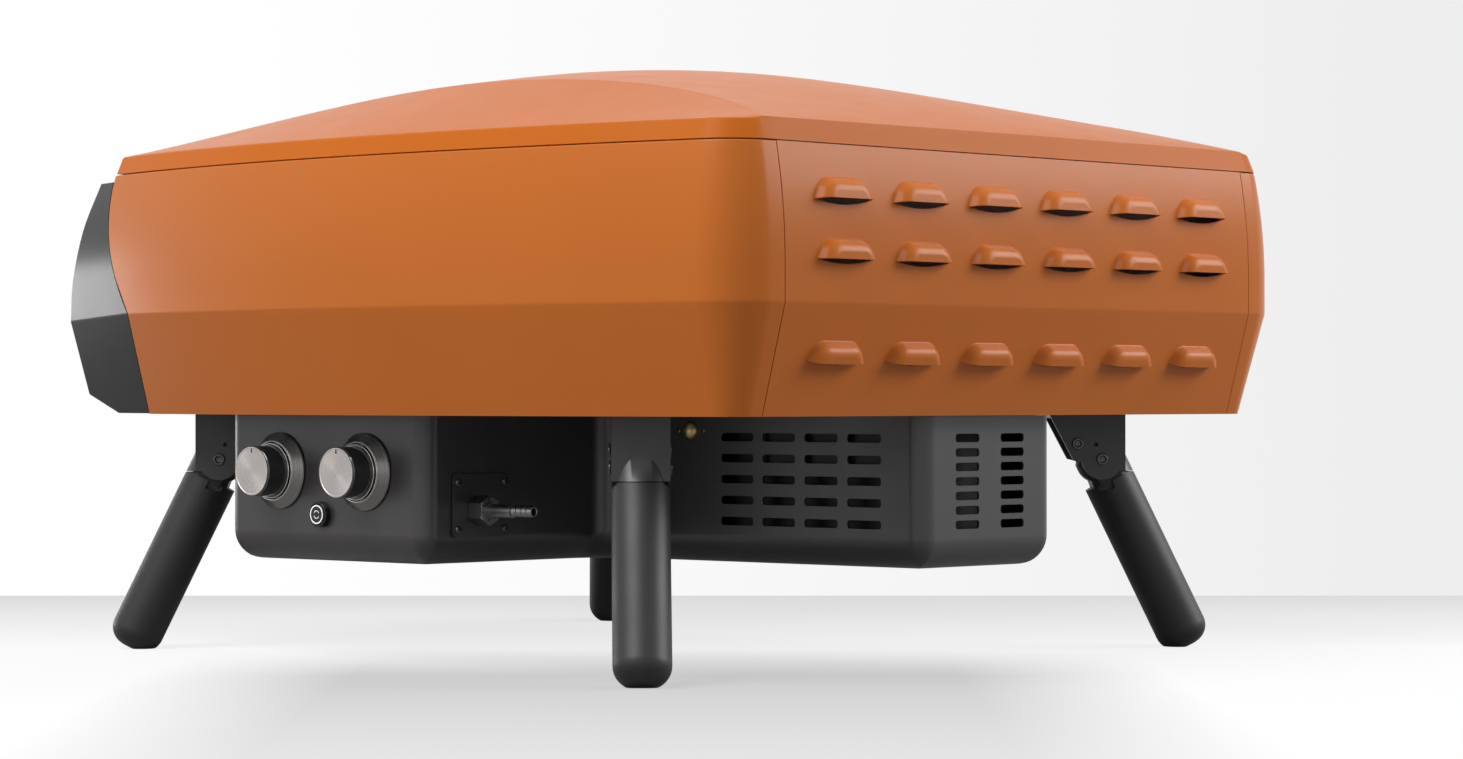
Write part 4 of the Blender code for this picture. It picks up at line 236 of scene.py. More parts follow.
# Name, kind, (colour, darker colour, roughness), and further values as its kind takes them
LOOKS = (
    ("orange_enamel", enamel, ((0.585, 0.16, 0.026), (0.57, 0.152, 0.024), (0.27, 0.32)), 0.15),
    ("charcoal_enamel", enamel, ((0.024, 0.022, 0.022), (0.021, 0.019, 0.019), (0.17, 0.2)), 0.1),
    ("black_enamel", enamel, ((0.032, 0.028, 0.028), (0.028, 0.025, 0.025), (0.3, 0.38)), 0.8),
    ("leg_enamel", enamel, ((0.022, 0.021, 0.021), (0.018, 0.017, 0.017), (0.42, 0.5)), 0.4, 1400),
    ("galvanised_steel", metal, ((0.45, 0.46, 0.47), (0.36, 0.37, 0.38), (0.25, 0.4))),
    ("stainless_steel", metal, ((0.6, 0.58, 0.55), (0.5, 0.48, 0.46), (0.25, 0.4))),
    ("brushed_steel", spun, ((0.63, 0.59, 0.57), (0.52, 0.48, 0.46), (0.26, 0.4)), 0.75),
    ("dark_chrome", metal, (grey(0.09), grey(0.07), (0.14, 0.22))),
    ("dark_steel", metal, ((0.3, 0.29, 0.29), (0.27, 0.26, 0.26), (0.28, 0.34)), 0.000001),
    ("brass", metal, ((0.6, 0.45, 0.21), (0.5, 0.36, 0.16), (0.25, 0.4))),
    ("ceramic_fibre", matt, ((0.8, 0.78, 0.74), (0.7, 0.68, 0.63), (0.7, 0.9)), 80),
    ("cordierite", matt, ((0.66, 0.55, 0.4), (0.52, 0.42, 0.3), (0.7, 0.9)), 120, 0.0001),
    ("white_ceramic", matt, ((0.8, 0.78, 0.73), (0.72, 0.7, 0.65), (0.4, 0.5))),
    ("black_plastic", matt, (grey(0.012), grey(0.009), (0.4, 0.5)), 500, 0.00003),
    ("lid_enamel", enamel, ((0.57, 0.145, 0.018), (0.555, 0.138, 0.016), (0.27, 0.32)), 0.05),
    ("knob_side", enamel, ((0.035, 0.034, 0.033), (0.028, 0.027, 0.026), (0.1, 0.15)), 0.8, 1100, 0.000004,
     0.5),
    ("bracket_enamel", enamel, ((0.032, 0.031, 0.031), (0.027, 0.026, 0.026), (0.34, 0.42)), 0.6, 1400),
    ("bright_edge", metal, ((0.7, 0.68, 0.66), (0.6, 0.58, 0.56), (0.15, 0.22))),
    ("knob_ring", spun, ((0.3, 0.29, 0.28), (0.17, 0.16, 0.16), (0.2, 0.34)), 0.8),
    ("print_white", matt, (grey(0.9), grey(0.84), (0.45, 0.55)), 900, 0.00001),
    # A near-black look for sheets that stand in for the shade inside the housing: painted shade
    ("painted_shade_black", matt, (grey(0.006), grey(0.004), (0.5, 0.6)), 300, 0.00004),
    ("pin_black", enamel, (grey(0.024), grey(0.018), (0.2, 0.26)), 0.9),
    ("screw", metal, (grey(0.13), grey(0.08), (0.25, 0.35))),
    ("switch_black", matt, (grey(0.012), grey(0.01), (0.25, 0.32)), 500, 0.00001),
)
# Slots of the looks that vary another one
FINISHES = {name: kind(name, *values) for name, kind, *values in LOOKS}
# Painted glow: the white print emits light of its own, though it is no lamp, so the ring and marks on the
# switch glow
GLOWING_PRINT = FINISHES["print_white"].node_tree
fill(GLOWING_PRINT.nodes["Principled BSDF"], {"Emission Color": (0.9, 0.95, 1), "Emission Strength": 0.45})
for part in frame["record"]["subparts"]:
    data = NODES[part["node"]].data
    data.materials.clear()
    data.materials.append(FINISHES[part["material_slot"]])


# Tools that make meshes

def to_mesh(bm, turn=UPRIGHT, outwards=False):
    """Welds a shape and gives it as a mesh."""
    bmesh.ops.remove_doubles(bm, verts=bm.verts, dist=GAP / 30)
    bmesh.ops.transform(bm, matrix=turn, verts=bm.verts)
    if outwards:
        bmesh.ops.recalc_face_normals(bm, faces=bm.faces)
    mesh = bpy.data.meshes.new("shape")
    bm.to_mesh(mesh)
    bm.free()
    return mesh


def solid(bm, turn=UPRIGHT):
    """A closed shape as a mesh with its faces turned outwards."""
    return to_mesh(bm, turn, True)


def assign(target, settings):
    """Gives a data block its settings."""
    for key, value in settings.items():
        setattr(target, key, value)
    return target


def modify(obj, kind, **settings):
    """A modifier with its settings."""
    assign(obj.modifiers.new(kind.lower(), kind), settings)


def shown(name, data, **settings):
    """A new object in the scene."""
    obj = assign(bpy.data.objects.new(name, data), settings)
    bpy.context.scene.collection.objects.link(obj)
    return obj


def evaluated(obj):
    """The mesh of an object with its modifiers, which then goes."""
    graph = bpy.context.evaluated_depsgraph_get()
    mesh = bpy.data.meshes.new_from_object(obj.evaluated_get(graph))
    bpy.data.objects.remove(obj)
    return mesh


def joined(meshes):
    """Several meshes as one, unwelded."""
    bm = bmesh.new()
    for mesh in meshes:
        bm.from_mesh(mesh)
    made = bpy.data.meshes.new("joined")
    bm.to_mesh(made)
    bm.free()
    return made


def spread(mesh, places):
    """Copies of a mesh at several places, as one mesh."""
    copies = [mesh.copy() for place in places]
    for copy, place in zip(copies, places):
        copy.transform(place)
    return joined(copies)


def boolean(base, tool, operation):
    """An exact Boolean of two meshes."""
    other = shown("tool", tool)
    obj = shown("base", base)
    modify(obj, "BOOLEAN", operation=operation, solver="EXACT", object=other)
    mesh = evaluated(obj)
    bpy.data.objects.remove(other)
    return mesh


def cut(base, *tools):
    for tool in tools:
        base = boolean(base, tool, "DIFFERENCE")
    return base


def at(x, y, z):
    return Matrix.Translation((x, y, z))


def box(low, high):
    """A block between two corners, used to cut others."""
    bm = bmesh.new()
    bmesh.ops.create_cube(bm, size=1)
    size = [b - a for a, b in zip(low, high)]
    centre = [(a + b) / 2 for a, b in zip(low, high)]
    return solid(bm, at(*centre) @ Matrix.Diagonal((*size, 1)))


def rod(radius, low, high, turn=UPRIGHT, steps=48):
    """A plain round rod, used to cut others."""
    bm = bmesh.new()
    bmesh.ops.create_cone(bm, cap_ends=True, segments=steps, radius1=radius, radius2=radius, depth=high - low)
    return solid(bm, turn @ at(0, 0, (low + high) / 2))


def loft(rings, closed=True, capped=True):
    """Quads between rings of points that have the same count."""
    bm = bmesh.new()
    rows = [[bm.verts.new(point) for point in points] for points in rings]
    count = len(rows[0])
    for low, high in zip(rows, rows[1:]):
        for i in range(count if closed else count - 1):
            j = (i + 1) % count
            bm.faces.new((low[i], low[j], high[j], high[i]))
    if capped:
        bm.faces.new(list(reversed(rows[0])))
        bm.faces.new(rows[-1])
    return bm


def eased(points, bends, steps=4):
    """A line of points with some of its corners rounded, given as index: reach."""
    bends = {i % len(points): reach for i, reach in bends.items()}
    line = []
    for i, point in enumerate(points):
        point = Vector(point)
        if i not in bends:
            line.append(point)
            continue
        back, ahead = Vector(points[i - 1]) - point, Vector(points[i + 1]) - point
        start, end = [point + way.normalized() * min(bends[i], 0.45 * way.length) for way in (back, ahead)]
        for k in range(steps + 1):
            t = k / steps
            line.append(start * (1 - t) ** 2 + point * (2 * t * (1 - t)) + end * t * t)
    return line


def softened(rows, along, down):
    """Rows of points with their bends rounded, within the rows and from row to row."""
    columns = zip(*[eased(row, along) for row in rows])
    return list(zip(*[eased(column, down) for column in columns]))


def turned(profile, turn=UPRIGHT, steps=64, ease=0.0003):
    """A turned solid from (radius, height) points, with its corners eased."""
    if ease:
        profile = eased(profile, {i: ease for i in range(1, len(profile) - 1)}, 2)
    angles = [tau * i / steps for i in range(steps)]
    rings = [[(r * cos(a), r * sin(a), z) for a in angles] for r, z in profile]
    return solid(loft(rings, capped=False), turn)


def sheet(rows):
    """An open sheet through rows of points."""
    return to_mesh(loft(rows, closed=False, capped=False))


def drawn(lines, closed, **settings):
    """The form of a curve through lines of points."""
    curve = assign(bpy.data.curves.new("outline", "CURVE"), settings)
    for points in lines:
        spline = curve.splines.new("POLY")
        spline.points.add(len(points) - 1)
        for point, place in zip(spline.points, points):
            point.co = Vector(place).to_3d().to_4d()
        spline.use_cyclic_u = closed
    bm = bmesh.new()
    bm.from_mesh(evaluated(shown("outline", curve)))
    return bm


def plate(outlines, low, high, turn=UPRIGHT):
    """A flat piece from closed outlines, where the inner ones are its holes."""
    bm = drawn(outlines, True, dimensions="2D", fill_mode="BOTH", extrude=(high - low) / 2)
    return solid(bm, turn @ at(0, 0, (low + high) / 2))


def tube(points, radius, closed=False, sides=8):
    """A round tube along a line of points."""
    return solid(drawn([points], closed, dimensions="3D", bevel_depth=radius, bevel_resolution=sides,
                       use_fill_caps=not closed))


def arc(centre, radius, start, end, steps):
    """Points along an arc, both ends included."""
    angles = [start + (end - start) * i / steps for i in range(steps + 1)]
    return [(centre[0] + radius * cos(a), centre[1] + radius * sin(a)) for a in angles]


def circle(radius, steps=48, centre=(0, 0)):
    return arc(centre, radius, 0, tau * (steps - 1) / steps, steps - 1)


def rounded(corners, inset=0.0, steps=6):
    """A closed outline from (x, y, radius) corners in counter-clockwise order."""
    outline, edges, count = [], [], len(corners)
    for i in range(count):
        start = Vector(corners[i][:2])
        along = (Vector(corners[(i + 1) % count][:2]) - start).normalized()
        edges.append((start + Vector((-along.y, along.x)) * inset, along))
    for i in range(count):
        before, after = edges[i - 1], edges[i]
        turn = before[1].cross(after[1])
        corner = before[0] + before[1] * (after[0] - before[0]).cross(after[1]) / turn
        side = 1 if turn > 0 else -1
        radius = max(corners[i][2] - side * inset, GAP)
        inwards = Vector((-before[1].y, before[1].x)) * side
        angle = acos(max(-1.0, min(1.0, before[1].dot(after[1]))))
        centre = corner - before[1] * (radius * tan(angle / 2)) + inwards * radius
        start = atan2(-inwards.y, -inwards.x)
        outline += arc(centre, radius, start, start + side * angle, steps)
    return outline


def rectangle(centre, width, height, radius, steps=6):
    """A rectangle with round corners."""
    x, y = width / 2, height / 2
    corners = [(x, -y, radius), (x, y, radius), (-x, y, radius), (-x, -y, radius)]
    return [(centre[0] + px, centre[1] + py) for px, py in rounded(corners, steps=steps)]


def bent(points, radius, steps=8):
    """A line through points, with its inner corners rounded to a bend radius."""
    path = [Vector(points[0])]
    for before, corner, after in zip(points, points[1:], points[2:]):
        corner = Vector(corner)
        back, ahead = [(Vector(point) - corner).normalized() for point in (before, after)]
        half = back.angle(ahead) / 2
        centre = corner + (back + ahead).normalized() * radius / sin(half)
        first, last = [corner + way * radius / tan(half) - centre for way in (back, ahead)]
        path += [centre + first.slerp(last, i / steps) * radius for i in range(steps + 1)]
    return path + [Vector(points[-1])]


def piece(name, mesh, look, body="oven", nodes=(), turn=UPRIGHT, bevel=0.0, limit=35, thickness=0.0, side=1,
          even=True):
    """Puts a mesh into the scene, with its finish, edges and shading, on a body of the frame."""
    mesh.name = name
    mesh.shade_smooth()
    mesh.materials.clear()
    mesh.materials.append(FINISHES[look])
    if not bevel:
        mesh.set_sharp_from_angle(angle=radians(limit))
    obj = shown(name, mesh, matrix_world=at(0, SHIFT, 0) @ turn)
    if thickness:
        modify(obj, "SOLIDIFY", thickness=thickness, offset=side, use_even_offset=even, thickness_clamp=4)
    if bevel:
        modify(obj, "BEVEL", width=bevel, segments=2, limit_method="ANGLE", angle_limit=radians(limit))
    modify(obj, "WEIGHTED_NORMAL", keep_sharp=True)
    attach(obj, body)
    if nodes:
        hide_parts(*nodes)


# Shape of the body

def side_x(y):
    """Half width of the body at the seam, at a place along its length."""
    if y < 0:
        return HALF_WIDTH - FRONT_NARROWING * (y / FRONT_DEPTH) ** 2
    return HALF_WIDTH - REAR_NARROWING * (y / REAR_DEPTH) ** 2


def side_slope(y):
    if y < 0:
        return -2 * FRONT_NARROWING * y / FRONT_DEPTH ** 2
    return -2 * REAR_NARROWING * y / REAR_DEPTH ** 2


def wall_offset(height):
    """How far the wall stands out of its place at the seam."""
    if height >= BELLY:
        return BULGE * (1 - ((height - BELLY) / (SEAM - BELLY)) ** 2)
    return BULGE - TUCK * max(0.0, (CREASE - height) / (CREASE - BOTTOM))


def edge_y(height):
    """Front edge of the side shells."""
    share = max(0.0, (height - CREASE) / (SEAM - CREASE))
    return -EDGE_DEPTH - EDGE_SWEEP * (1 - (1 - share / SWEEP_SHARE) ** 2)


def side_path(offset, front_y, steps=36, corner_steps=12):
    """Plan points of the right side, from a front edge round the rear corner."""
    join_y = REAR_DEPTH - CORNER_RADIUS
    lean = atan(-side_slope(join_y))
    centre = (side_x(join_y) - CORNER_RADIUS * cos(lean), join_y)
    start = join_y + CORNER_RADIUS * sin(lean)
    ys = [front_y + (start - front_y) * i / steps for i in range(steps)]
    side = [(side_x(y) + offset * hypot(1, side_slope(y)), y) for y in ys]
    return side + arc(centre, CORNER_RADIUS + offset, lean, pi / 2, corner_steps)


def wall_levels(count=16):
    """Heights at which the wall is drawn."""
    return [BOTTOM, CREASE] + [BELLY + (SEAM - BELLY) * i / count for i in range(count + 1)]


def lid():
    """The domed lid: rim, side facets up to the hips, and a crown between them."""
    outer = side_path(0, -FRONT_DEPTH)
    inner = side_path(-RIM_INSET, -FRONT_DEPTH + FRONT_INSET)
    low = SEAM + GAP + SHEET * RIM_INSET / (RIM - SEAM)
    rings = []
    for (x_low, y_low), (x_top, y_top) in zip(outer, inner):
        share = min(1.0, abs(y_top) / (FRONT_DEPTH - 0.001))
        hip_x = min(HIP_MIDDLE + (HIP_END - HIP_MIDDLE) * share ** HIP_CURVE, x_top - RIM_INSET)
        hip_z = RIM + HIP_RISE * (1 - share ** 2)
        rise = CROWN_RISE * (1 - share ** RISE_CURVE)
        crown = [(hip_x * u, y_top, hip_z + rise * (1 - abs(u) ** CROWN_CURVE)) for u in ACROSS]
        rings.append([(x_low, y_low, low), (x_top, y_top, RIM)] + crown
                     + [(-x_top, y_top, RIM), (-x_low, y_low, low)])
    rows = []
    for ring, y in ((rings[0], -FRONT_DEPTH), (rings[-1], REAR_DEPTH)):
        end = [(px, y, low) for px, py, pz in ring]
        end[:2], end[-2:] = [ring[0]] * 2, [ring[-1]] * 2
        rows.append(end)
    rows = [rows[0]] + rings + [rows[1]]
    rows = softened(rows, {1: 0.0015, 2: 0.004, -3: 0.004, -2: 0.0015}, {1: 0.0015, -2: 0.0015})
    return sheet(rows)


def side_shell(side):
    """One side of the body, with flanges at its top, front edge and rear seam."""
    rows = []
    seam = PANEL_HALF + PANEL_GAP
    for height in wall_levels():
        front_y = edge_y(height)
        wall = side_path(wall_offset(height), front_y)[:-1]
        rear_y = REAR_DEPTH + wall_offset(height)
        lap = rear_y - SHEET - GAP
        line = [(wall[0][0] - FLANGE, front_y)] + wall + [(seam, rear_y), (seam, lap), (seam - FLANGE, lap)]
        rows.append([(side * x, y, height) for x, y in line])
    wall = side_path(-TOP_FLANGE, edge_y(SEAM) + TOP_FLANGE)[:-1]
    rows.append(rows[-1][:1] + [(side * x, y, SEAM) for x, y in wall] + rows[-1][-3:])
    rows = softened(rows, {1: 0.0009, -3: 0.0007}, {1: 0.0012, -2: 0.0012})
    return sheet(rows)


def hood(levels, sill):
    """A louvre's form from (inset, depth) levels, straight along its open bottom."""
    slope = (HOOD_HALF - HOOD_TOP_HALF) / HOOD_HEIGHT
    rings = []
    for inset, depth in levels:
        drop = inset + sill
        half = HOOD_HALF + slope * drop
        top = HOOD_CORNER + inset * 0.45
        corners = [(-half, -drop, 0), (half, -drop, 0), (HOOD_TOP_HALF, HOOD_HEIGHT, top),
                   (-HOOD_TOP_HALF, HOOD_HEIGHT, top)]
        rings.append([(x, depth, z) for x, z in rounded(corners, inset, 8)])
    return solid(loft(rings))


def rear_panel():
    """The rear sheet with its rows of stamped louvres, open below."""
    half = PANEL_HALF - PANEL_GAP
    heights = wall_levels()
    skin = eased([(REAR_DEPTH + wall_offset(z), z) for z in heights], {1: 0.0012})
    back = [(REAR_DEPTH + wall_offset(z) - SHEET, z) for z in reversed(heights)]
    panel = plate([[tuple(point) for point in skin] + back], -half, half, ALONG_X)
    outer = [(-0.0017, -0.0004), (-0.0009, 0.0001), (-0.0003, 0.0006), (0.0002, 0.0014),
             (0.0016, 0.0044), (0.0023, 0.0056), (0.0033, 0.0067), (0.0045, 0.0075), (0.0059, 0.0081),
             (0.0075, 0.0086), (0.0092, HOOD_DEPTH)]
    inner = [(SHEET * 0.8, -2 * SHEET - OVERRUN), (SHEET, 0.0), (0.0032, 0.005),
             (0.0072, HOOD_DEPTH - SHEET)]
    reach, top = 0.93 * HOOD_HALF, 2 * GAP
    opening = [(reach * (i / 10 - 1), -HOOD_DROP * (1 - (i / 10 - 1) ** 2)) for i in range(21)]
    opening = plate([opening + [(reach, top), (-reach, top)]], -SHEET - OVERRUN, OVERRUN, FACING_Y)
    bulge, hollow = hood(outer, 0), hood(inner, 0.0004)
    places = []
    for height, share in HOOD_ROWS:
        offset = wall_offset(height)
        tilt = Matrix.Rotation(atan2(offset - wall_offset(height + HOOD_HEIGHT), HOOD_HEIGHT), 4, "X")
        stretch = Matrix.Diagonal((1, 1, share, 1))
        for column in range(HOOD_COLUMNS):
            x = (column - (HOOD_COLUMNS - 1) / 2) * HOOD_PITCH
            places.append(at(x, REAR_DEPTH + offset, height) @ tilt @ stretch)
    panel = boolean(panel, spread(bulge, places), "UNION")
    return cut(panel, spread(hollow, places), spread(opening, places))


def smooth_between(points, value):
    """Smooth interpolation in a list of points, by their last number."""
    for i in range(len(points) - 1):
        a, b = points[i], points[i + 1]
        if value <= b[-1] or i == len(points) - 2:
            before, after = points[max(i - 1, 0)], points[min(i + 2, len(points) - 1)]
            span = b[-1] - a[-1]
            t = min(1.0, max(0.0, (value - a[-1]) / span))
            result = []
            for p, q, r, s in zip(before, a, b, after):
                m0 = (r - p) / (b[-1] - before[-1]) * span
                m1 = (s - q) / (after[-1] - a[-1]) * span
                result.append((2 * t ** 3 - 3 * t ** 2 + 1) * q + (t ** 3 - 2 * t ** 2 + t) * m0
                              + (3 * t ** 2 - 2 * t ** 3) * r + (t ** 3 - t ** 2) * m1)
            return result


def bezel_volume(inset, back, steps=14):
    """The space inside the bezel's outer skin, drawn in by an inset."""
    lower, upper = BEZEL_CORNERS[:2], BEZEL_CORNERS[2:]
    low, high = BEZEL_CORNERS[0][2] + inset, BEZEL_CORNERS[-1][2] - inset
    rows = [(x, forwards, z, z) for x, forwards, z in lower]
    for i in range(steps + 1):
        t = i / steps
        z = upper[0][2] + (upper[-1][2] - upper[0][2]) * t
        x, forwards, z = smooth_between(upper, z)
        rows.append((x, forwards, z, CREASE + (upper[-1][2] - CREASE) * t))
    rings, shares = [], [1 - i / 12 for i in range(25)]
    for x, forwards, z, edge_z in rows:
        y = edge_y(edge_z)
        edge = side_x(y) + wall_offset(edge_z) * hypot(1, side_slope(y)) - inset
        z, edge_z = min(max(z, low), high), min(max(edge_z, low), high)
        rear = y - BEZEL_SEAM + back
        front = [((x - inset) * u, -forwards + inset - BEZEL_BOW * (1 - u * u), z) for u in shares]
        rings.append([(edge, rear, edge_z)] + front + [(-edge, rear, edge_z)])
    if not inset:
        rings = softened(rings, {1: 0.0015, -2: 0.0015}, {1: 0.001, 2: 0.0012})
    return solid(loft(rings))


def mouth_block(margin, front_y, rear_y):
    """The mouth's rounded rectangle, run from one depth to another."""
    centre = (0, (MOUTH_LOW + MOUTH_TOP) / 2)
    width, height = 2 * (MOUTH_HALF + margin), MOUTH_TOP - MOUTH_LOW + 2 * margin
    return plate([rectangle(centre, width, height, MOUTH_CORNER + margin)], front_y, rear_y, FACING_Y)


def front_bezel():
    """The visor round the mouth, with a lip that runs back into the body."""
    far = -0.4
    inside = cut(bezel_volume(BEZEL_WALL, OVERRUN), mouth_block(BEZEL_WALL, far, -LIP_DEPTH))
    return cut(bezel_volume(0, 0), inside, mouth_block(0, far, -LIP_DEPTH + OVERRUN),
               mouth_block(BEZEL_WALL + OVERRUN, -LIP_DEPTH, -EDGE_DEPTH))


def add_body():
    """Shells, panel and bezel."""
    piece("lid", lid(), "lid_enamel", nodes=("lid_shell",), bevel=0.0004, limit=60, thickness=SHEET)
    for name, side in SIDES:
        piece("side_" + name, side_shell(side), "orange_enamel", nodes=("side_shell_" + name,),
              bevel=0.0004, limit=60, thickness=SHEET, side=-side, even=False)
    piece("louvred_panel", rear_panel(), "orange_enamel", nodes=("rear_panel",), limit=40)
    piece("mouth_bezel", front_bezel(), "charcoal_enamel", nodes=("front_bezel",), limit=32)


# Chamber, as far as the mouth shows it

def dome_rows():
    """Rows of the chamber's roof and walls."""
    base = FLOOR + GAP
    rows = []
    for j in range(25):
        v = -cos(pi * j / 24)
        y = (CHAMBER_REAR - CHAMBER_FRONT) / 2 + (CHAMBER_REAR + CHAMBER_FRONT) / 2 * v
        rise = DOME_RISE * (1 - 0.6 * v * v)
        row = [(CHAMBER_HALF * u, y, CHAMBER_TOP + rise * (1 - u * u)) for u in ACROSS]
        rows.append([(CHAMBER_HALF, y, base)] + row + [(-CHAMBER_HALF, y, base)])
    ends = [[(px, py, base) for px, py, pz in row] for row in (rows[0], rows[-1])]
    return [ends[0]] + rows + [ends[1]]


def burner_line(offset):
    """Centre line of the U-shaped burner, or a line beside it."""
    x, rear = BURNER_X - offset, BURNER_REAR - offset
    corners = [(x, BURNER_FRONT, 0), (x, rear, 0), (-x, rear, 0), (-x, BURNER_FRONT, 0)]
    return [(p.x, p.y) for p in bent(corners, BURNER_BEND - offset, 16)]


def add_chamber():
    """Vault, throat, stone, burner and flame shield."""
    rows = softened(dome_rows(), {1: 0.008, -2: 0.008}, {1: 0.006, -2: 0.006})
    shell = shown("vault", sheet(rows))
    modify(shell, "SOLIDIFY", thickness=THIN_SHEET, offset=1, use_even_offset=True)
    door = mouth_block(0.0015, -CHAMBER_FRONT - OVERRUN, -CHAMBER_FRONT + THIN_SHEET + OVERRUN)
    piece("vault", cut(evaluated(shell), door), "stainless_steel", nodes=("chamber_liner",), limit=30)
    front, rear = -LIP_DEPTH + GAP, -CHAMBER_FRONT + THIN_SHEET
    throat = cut(mouth_block(SHEET, front, rear), mouth_block(0, front - OVERRUN, rear + OVERRUN))
    piece("throat", throat, "stainless_steel", nodes=("mouth_frame",), limit=30)
    high, edge = STONE_LOW + STONE_THICKNESS, STONE_RADIUS
    profile = [(0, high), (edge, high), (edge, STONE_LOW), (0, STONE_LOW)]
    piece("stone", turned(profile, steps=160, ease=0.002), "cordierite", "turntable", ("pizza_stone",),
          at(0, STONE_Y, 0))
    line = burner_line(0)
    body = tube([(x, y, BURNER_HEIGHT) for x, y in line], BURNER_RADIUS)
    post = [(0, BURNER_HEIGHT), (0.003, BURNER_HEIGHT), (0.003, FLOOR + GAP), (0, FLOOR + GAP)]
    posts = [turned(post, at(x, y, 0), 24)
             for x, y in ((-BURNER_X, BURNER_FRONT + BURNER_BEND / 2), (0, BURNER_REAR))]
    port = [(0.0022, 0.0004), (0.0022, 0), (0.0012, 0), (0.0012, 0.0004), (0.0022, 0.0004)]
    ports = [turned(port, at(x, y, BURNER_HEIGHT + BURNER_RADIUS - GAP), 16, 0) for x, y in line[1:-1:2]]
    piece("burner_pipe", joined([body] + posts + ports), "stainless_steel", nodes=("main_burner",), limit=45)
    levels = ((SHIELD_FOOT, FLOOR + GAP), (SHIELD_WALL, FLOOR + GAP), (SHIELD_WALL, SHIELD_TOP))
    rows = [[(x, y, z) for x, y in burner_line(offset)] for offset, z in levels]
    rows = softened(rows, {}, {1: 0.0012})
    piece("shield", sheet(rows), "stainless_steel", nodes=("flame_shield",), thickness=THIN_SHEET)


# Control housing and what sits on it

def housing_corners():
    """Plan corners of the control housing, counter-clockwise."""
    right = [(0.077, -0.107, 0.015), (ARM_INNER, ARM_FRONT, 0.015), (ARM_REACH, ARM_FRONT, 0.013),
             (ARM_REACH, ARM_REAR, 0.013), (REAR_ARM, ARM_REAR, 0.015), (REAR_ARM, REAR_ARM_END, 0.013)]
    return right + [(-x, y, radius) for x, y, radius in reversed(right)]


def slot_tool(length, turn):
    """A vent's rounded rectangle, for cutting it through a wall."""
    return plate([rectangle((0, 0), length, VENT_HEIGHT, VENT_HEIGHT * 0.38, 4)], -0.0035, 0.0035, turn)


def housing():
    """The deep pan under the body."""
    levels = [(HOUSING_TOP, 0.0)]
    for i in range(11):
        angle = pi / 2 * i / 10
        levels.append((HOUSING_BOTTOM + HOUSING_FILLET * (1 - sin(angle)),
                       HOUSING_FILLET * (1 - cos(angle))))
    corners = housing_corners()
    rings = [[(x, y, z) for x, y in rounded(corners, inset, 8)] for z, inset in levels]
    outer = solid(loft(list(reversed(rings))))
    floor = HOUSING_BOTTOM + HOUSING_SHEET
    inner = [(max(z, floor), inset + HOUSING_SHEET) for z, inset in levels[1::3]]
    inner = [(HOUSING_TOP + OVERRUN, HOUSING_SHEET)] + inner + [(floor, levels[-1][1])]
    rings = [[(x, y, z) for x, y in rounded(corners, inset, 3)] for z, inset in inner]
    tools = []
    for side in (1, -1):
        for y in VENT_YS:
            for z in VENT_ZS:
                place = at(side * (REAR_ARM - HOUSING_SHEET / 2), y, z)
                tools.append(slot_tool(0.03, place @ ALONG_X))
        for z in END_VENT_ZS:
            place = at(side * END_VENT_X, REAR_ARM_END - HOUSING_SHEET / 2, z)
            tools.append(slot_tool(0.025, place @ FACING_BACK))
    door = rectangle((BATTERY_Y, BATTERY_HEIGHT), 0.0786, 0.0426, 0.0025)
    tools.append(plate([door], -ARM_REACH - OVERRUN, -ARM_REACH + HOUSING_SHEET + OVERRUN, ALONG_X))
    return cut(outer, solid(loft(list(reversed(rings)))), joined(tools))


def knob_parts():
    """A knob's dark side with its stem, its brushed face with a bright rim, and the ring round it."""
    face, back = KNOB_FACE - 0.0006, KNOB_FACE - KNOB_LENGTH
    dial = [(0, face), (KNOB_RADIUS - 0.0012, face), (KNOB_RADIUS, face - 0.001), (KNOB_RADIUS, back + 0.002),
            (KNOB_FLANGE, back + 0.002), (KNOB_FLANGE, back), (0.004, back), (0.004, -0.014), (0, -0.014)]
    face, radius = KNOB_FACE, KNOB_RADIUS - 0.0007
    disc = [(0, face - 0.0002), (radius - 0.001, face - 0.0002), (radius - 0.0008, face), (radius, face),
            (radius, face - 0.0012), (0, face - 0.0012)]
    ring = [(0.0063, 0.0018), (0.02, 0.0018), (0.02, RING_HEIGHT), (0.0212, RING_HEIGHT),
            (0.0271, GAP + 0.0012), (0.0271, GAP), (0.0063, GAP), (0.0063, 0.0018)]
    eases = ((dial, GAP), (disc, 0.0001), (ring, 0.0004))
    return [turned(profile, ALONG_X, 128, ease) for profile, ease in eases]


def nut():
    """The chamfered hexagon nut round the inlet."""
    length, radius = 0.013, 0.018 / sqrt(3)
    hexagon = plate([circle(radius, 6)], 0, length)
    cone = turned([(0, length), (radius - 0.0014, length), (radius + 0.0004, length - 0.0014),
                   (radius + 0.0004, 0.001), (radius - 0.0008, 0), (0, 0)], steps=96, ease=0)
    made = boolean(hexagon, cone, "INTERSECT")
    return cut(made, rod(0.0063, -OVERRUN, length + OVERRUN))


def barb():
    """The inlet's stem with its ribbed hose end."""
    low, shoulder, collar = -0.0195, 0.0156, 0.0376
    tip = collar + 0.02
    profile = [(0, tip - 0.03), (0.0024, tip - 0.03), (0.0024, tip - 0.0004), (0.0028, tip)]
    for i in range(4):
        high = tip - i * 0.005
        profile += [(0.0033, high), (0.004, high - 0.0034), (0.004, high - 0.004), (0.0034, high - 0.0048)]
    profile += [(0.0034, collar), (0.0046, collar), (0.0046, shoulder + 0.0012), (0.0056, shoulder),
                (0.006, shoulder), (0.006, low), (0, low)]
    return turned(profile, ALONG_Y, 64, 0.0002)


def socket_screw(radius, height):
    """A low round screw head with a hexagon socket."""
    profile = [(0, height), (radius * 0.72, height), (radius, height * 0.35), (radius, 0), (0, 0)]
    head = turned(profile, steps=40)
    return cut(head, plate([circle(radius * 0.45, 6)], height * 0.4, height + 0.001))


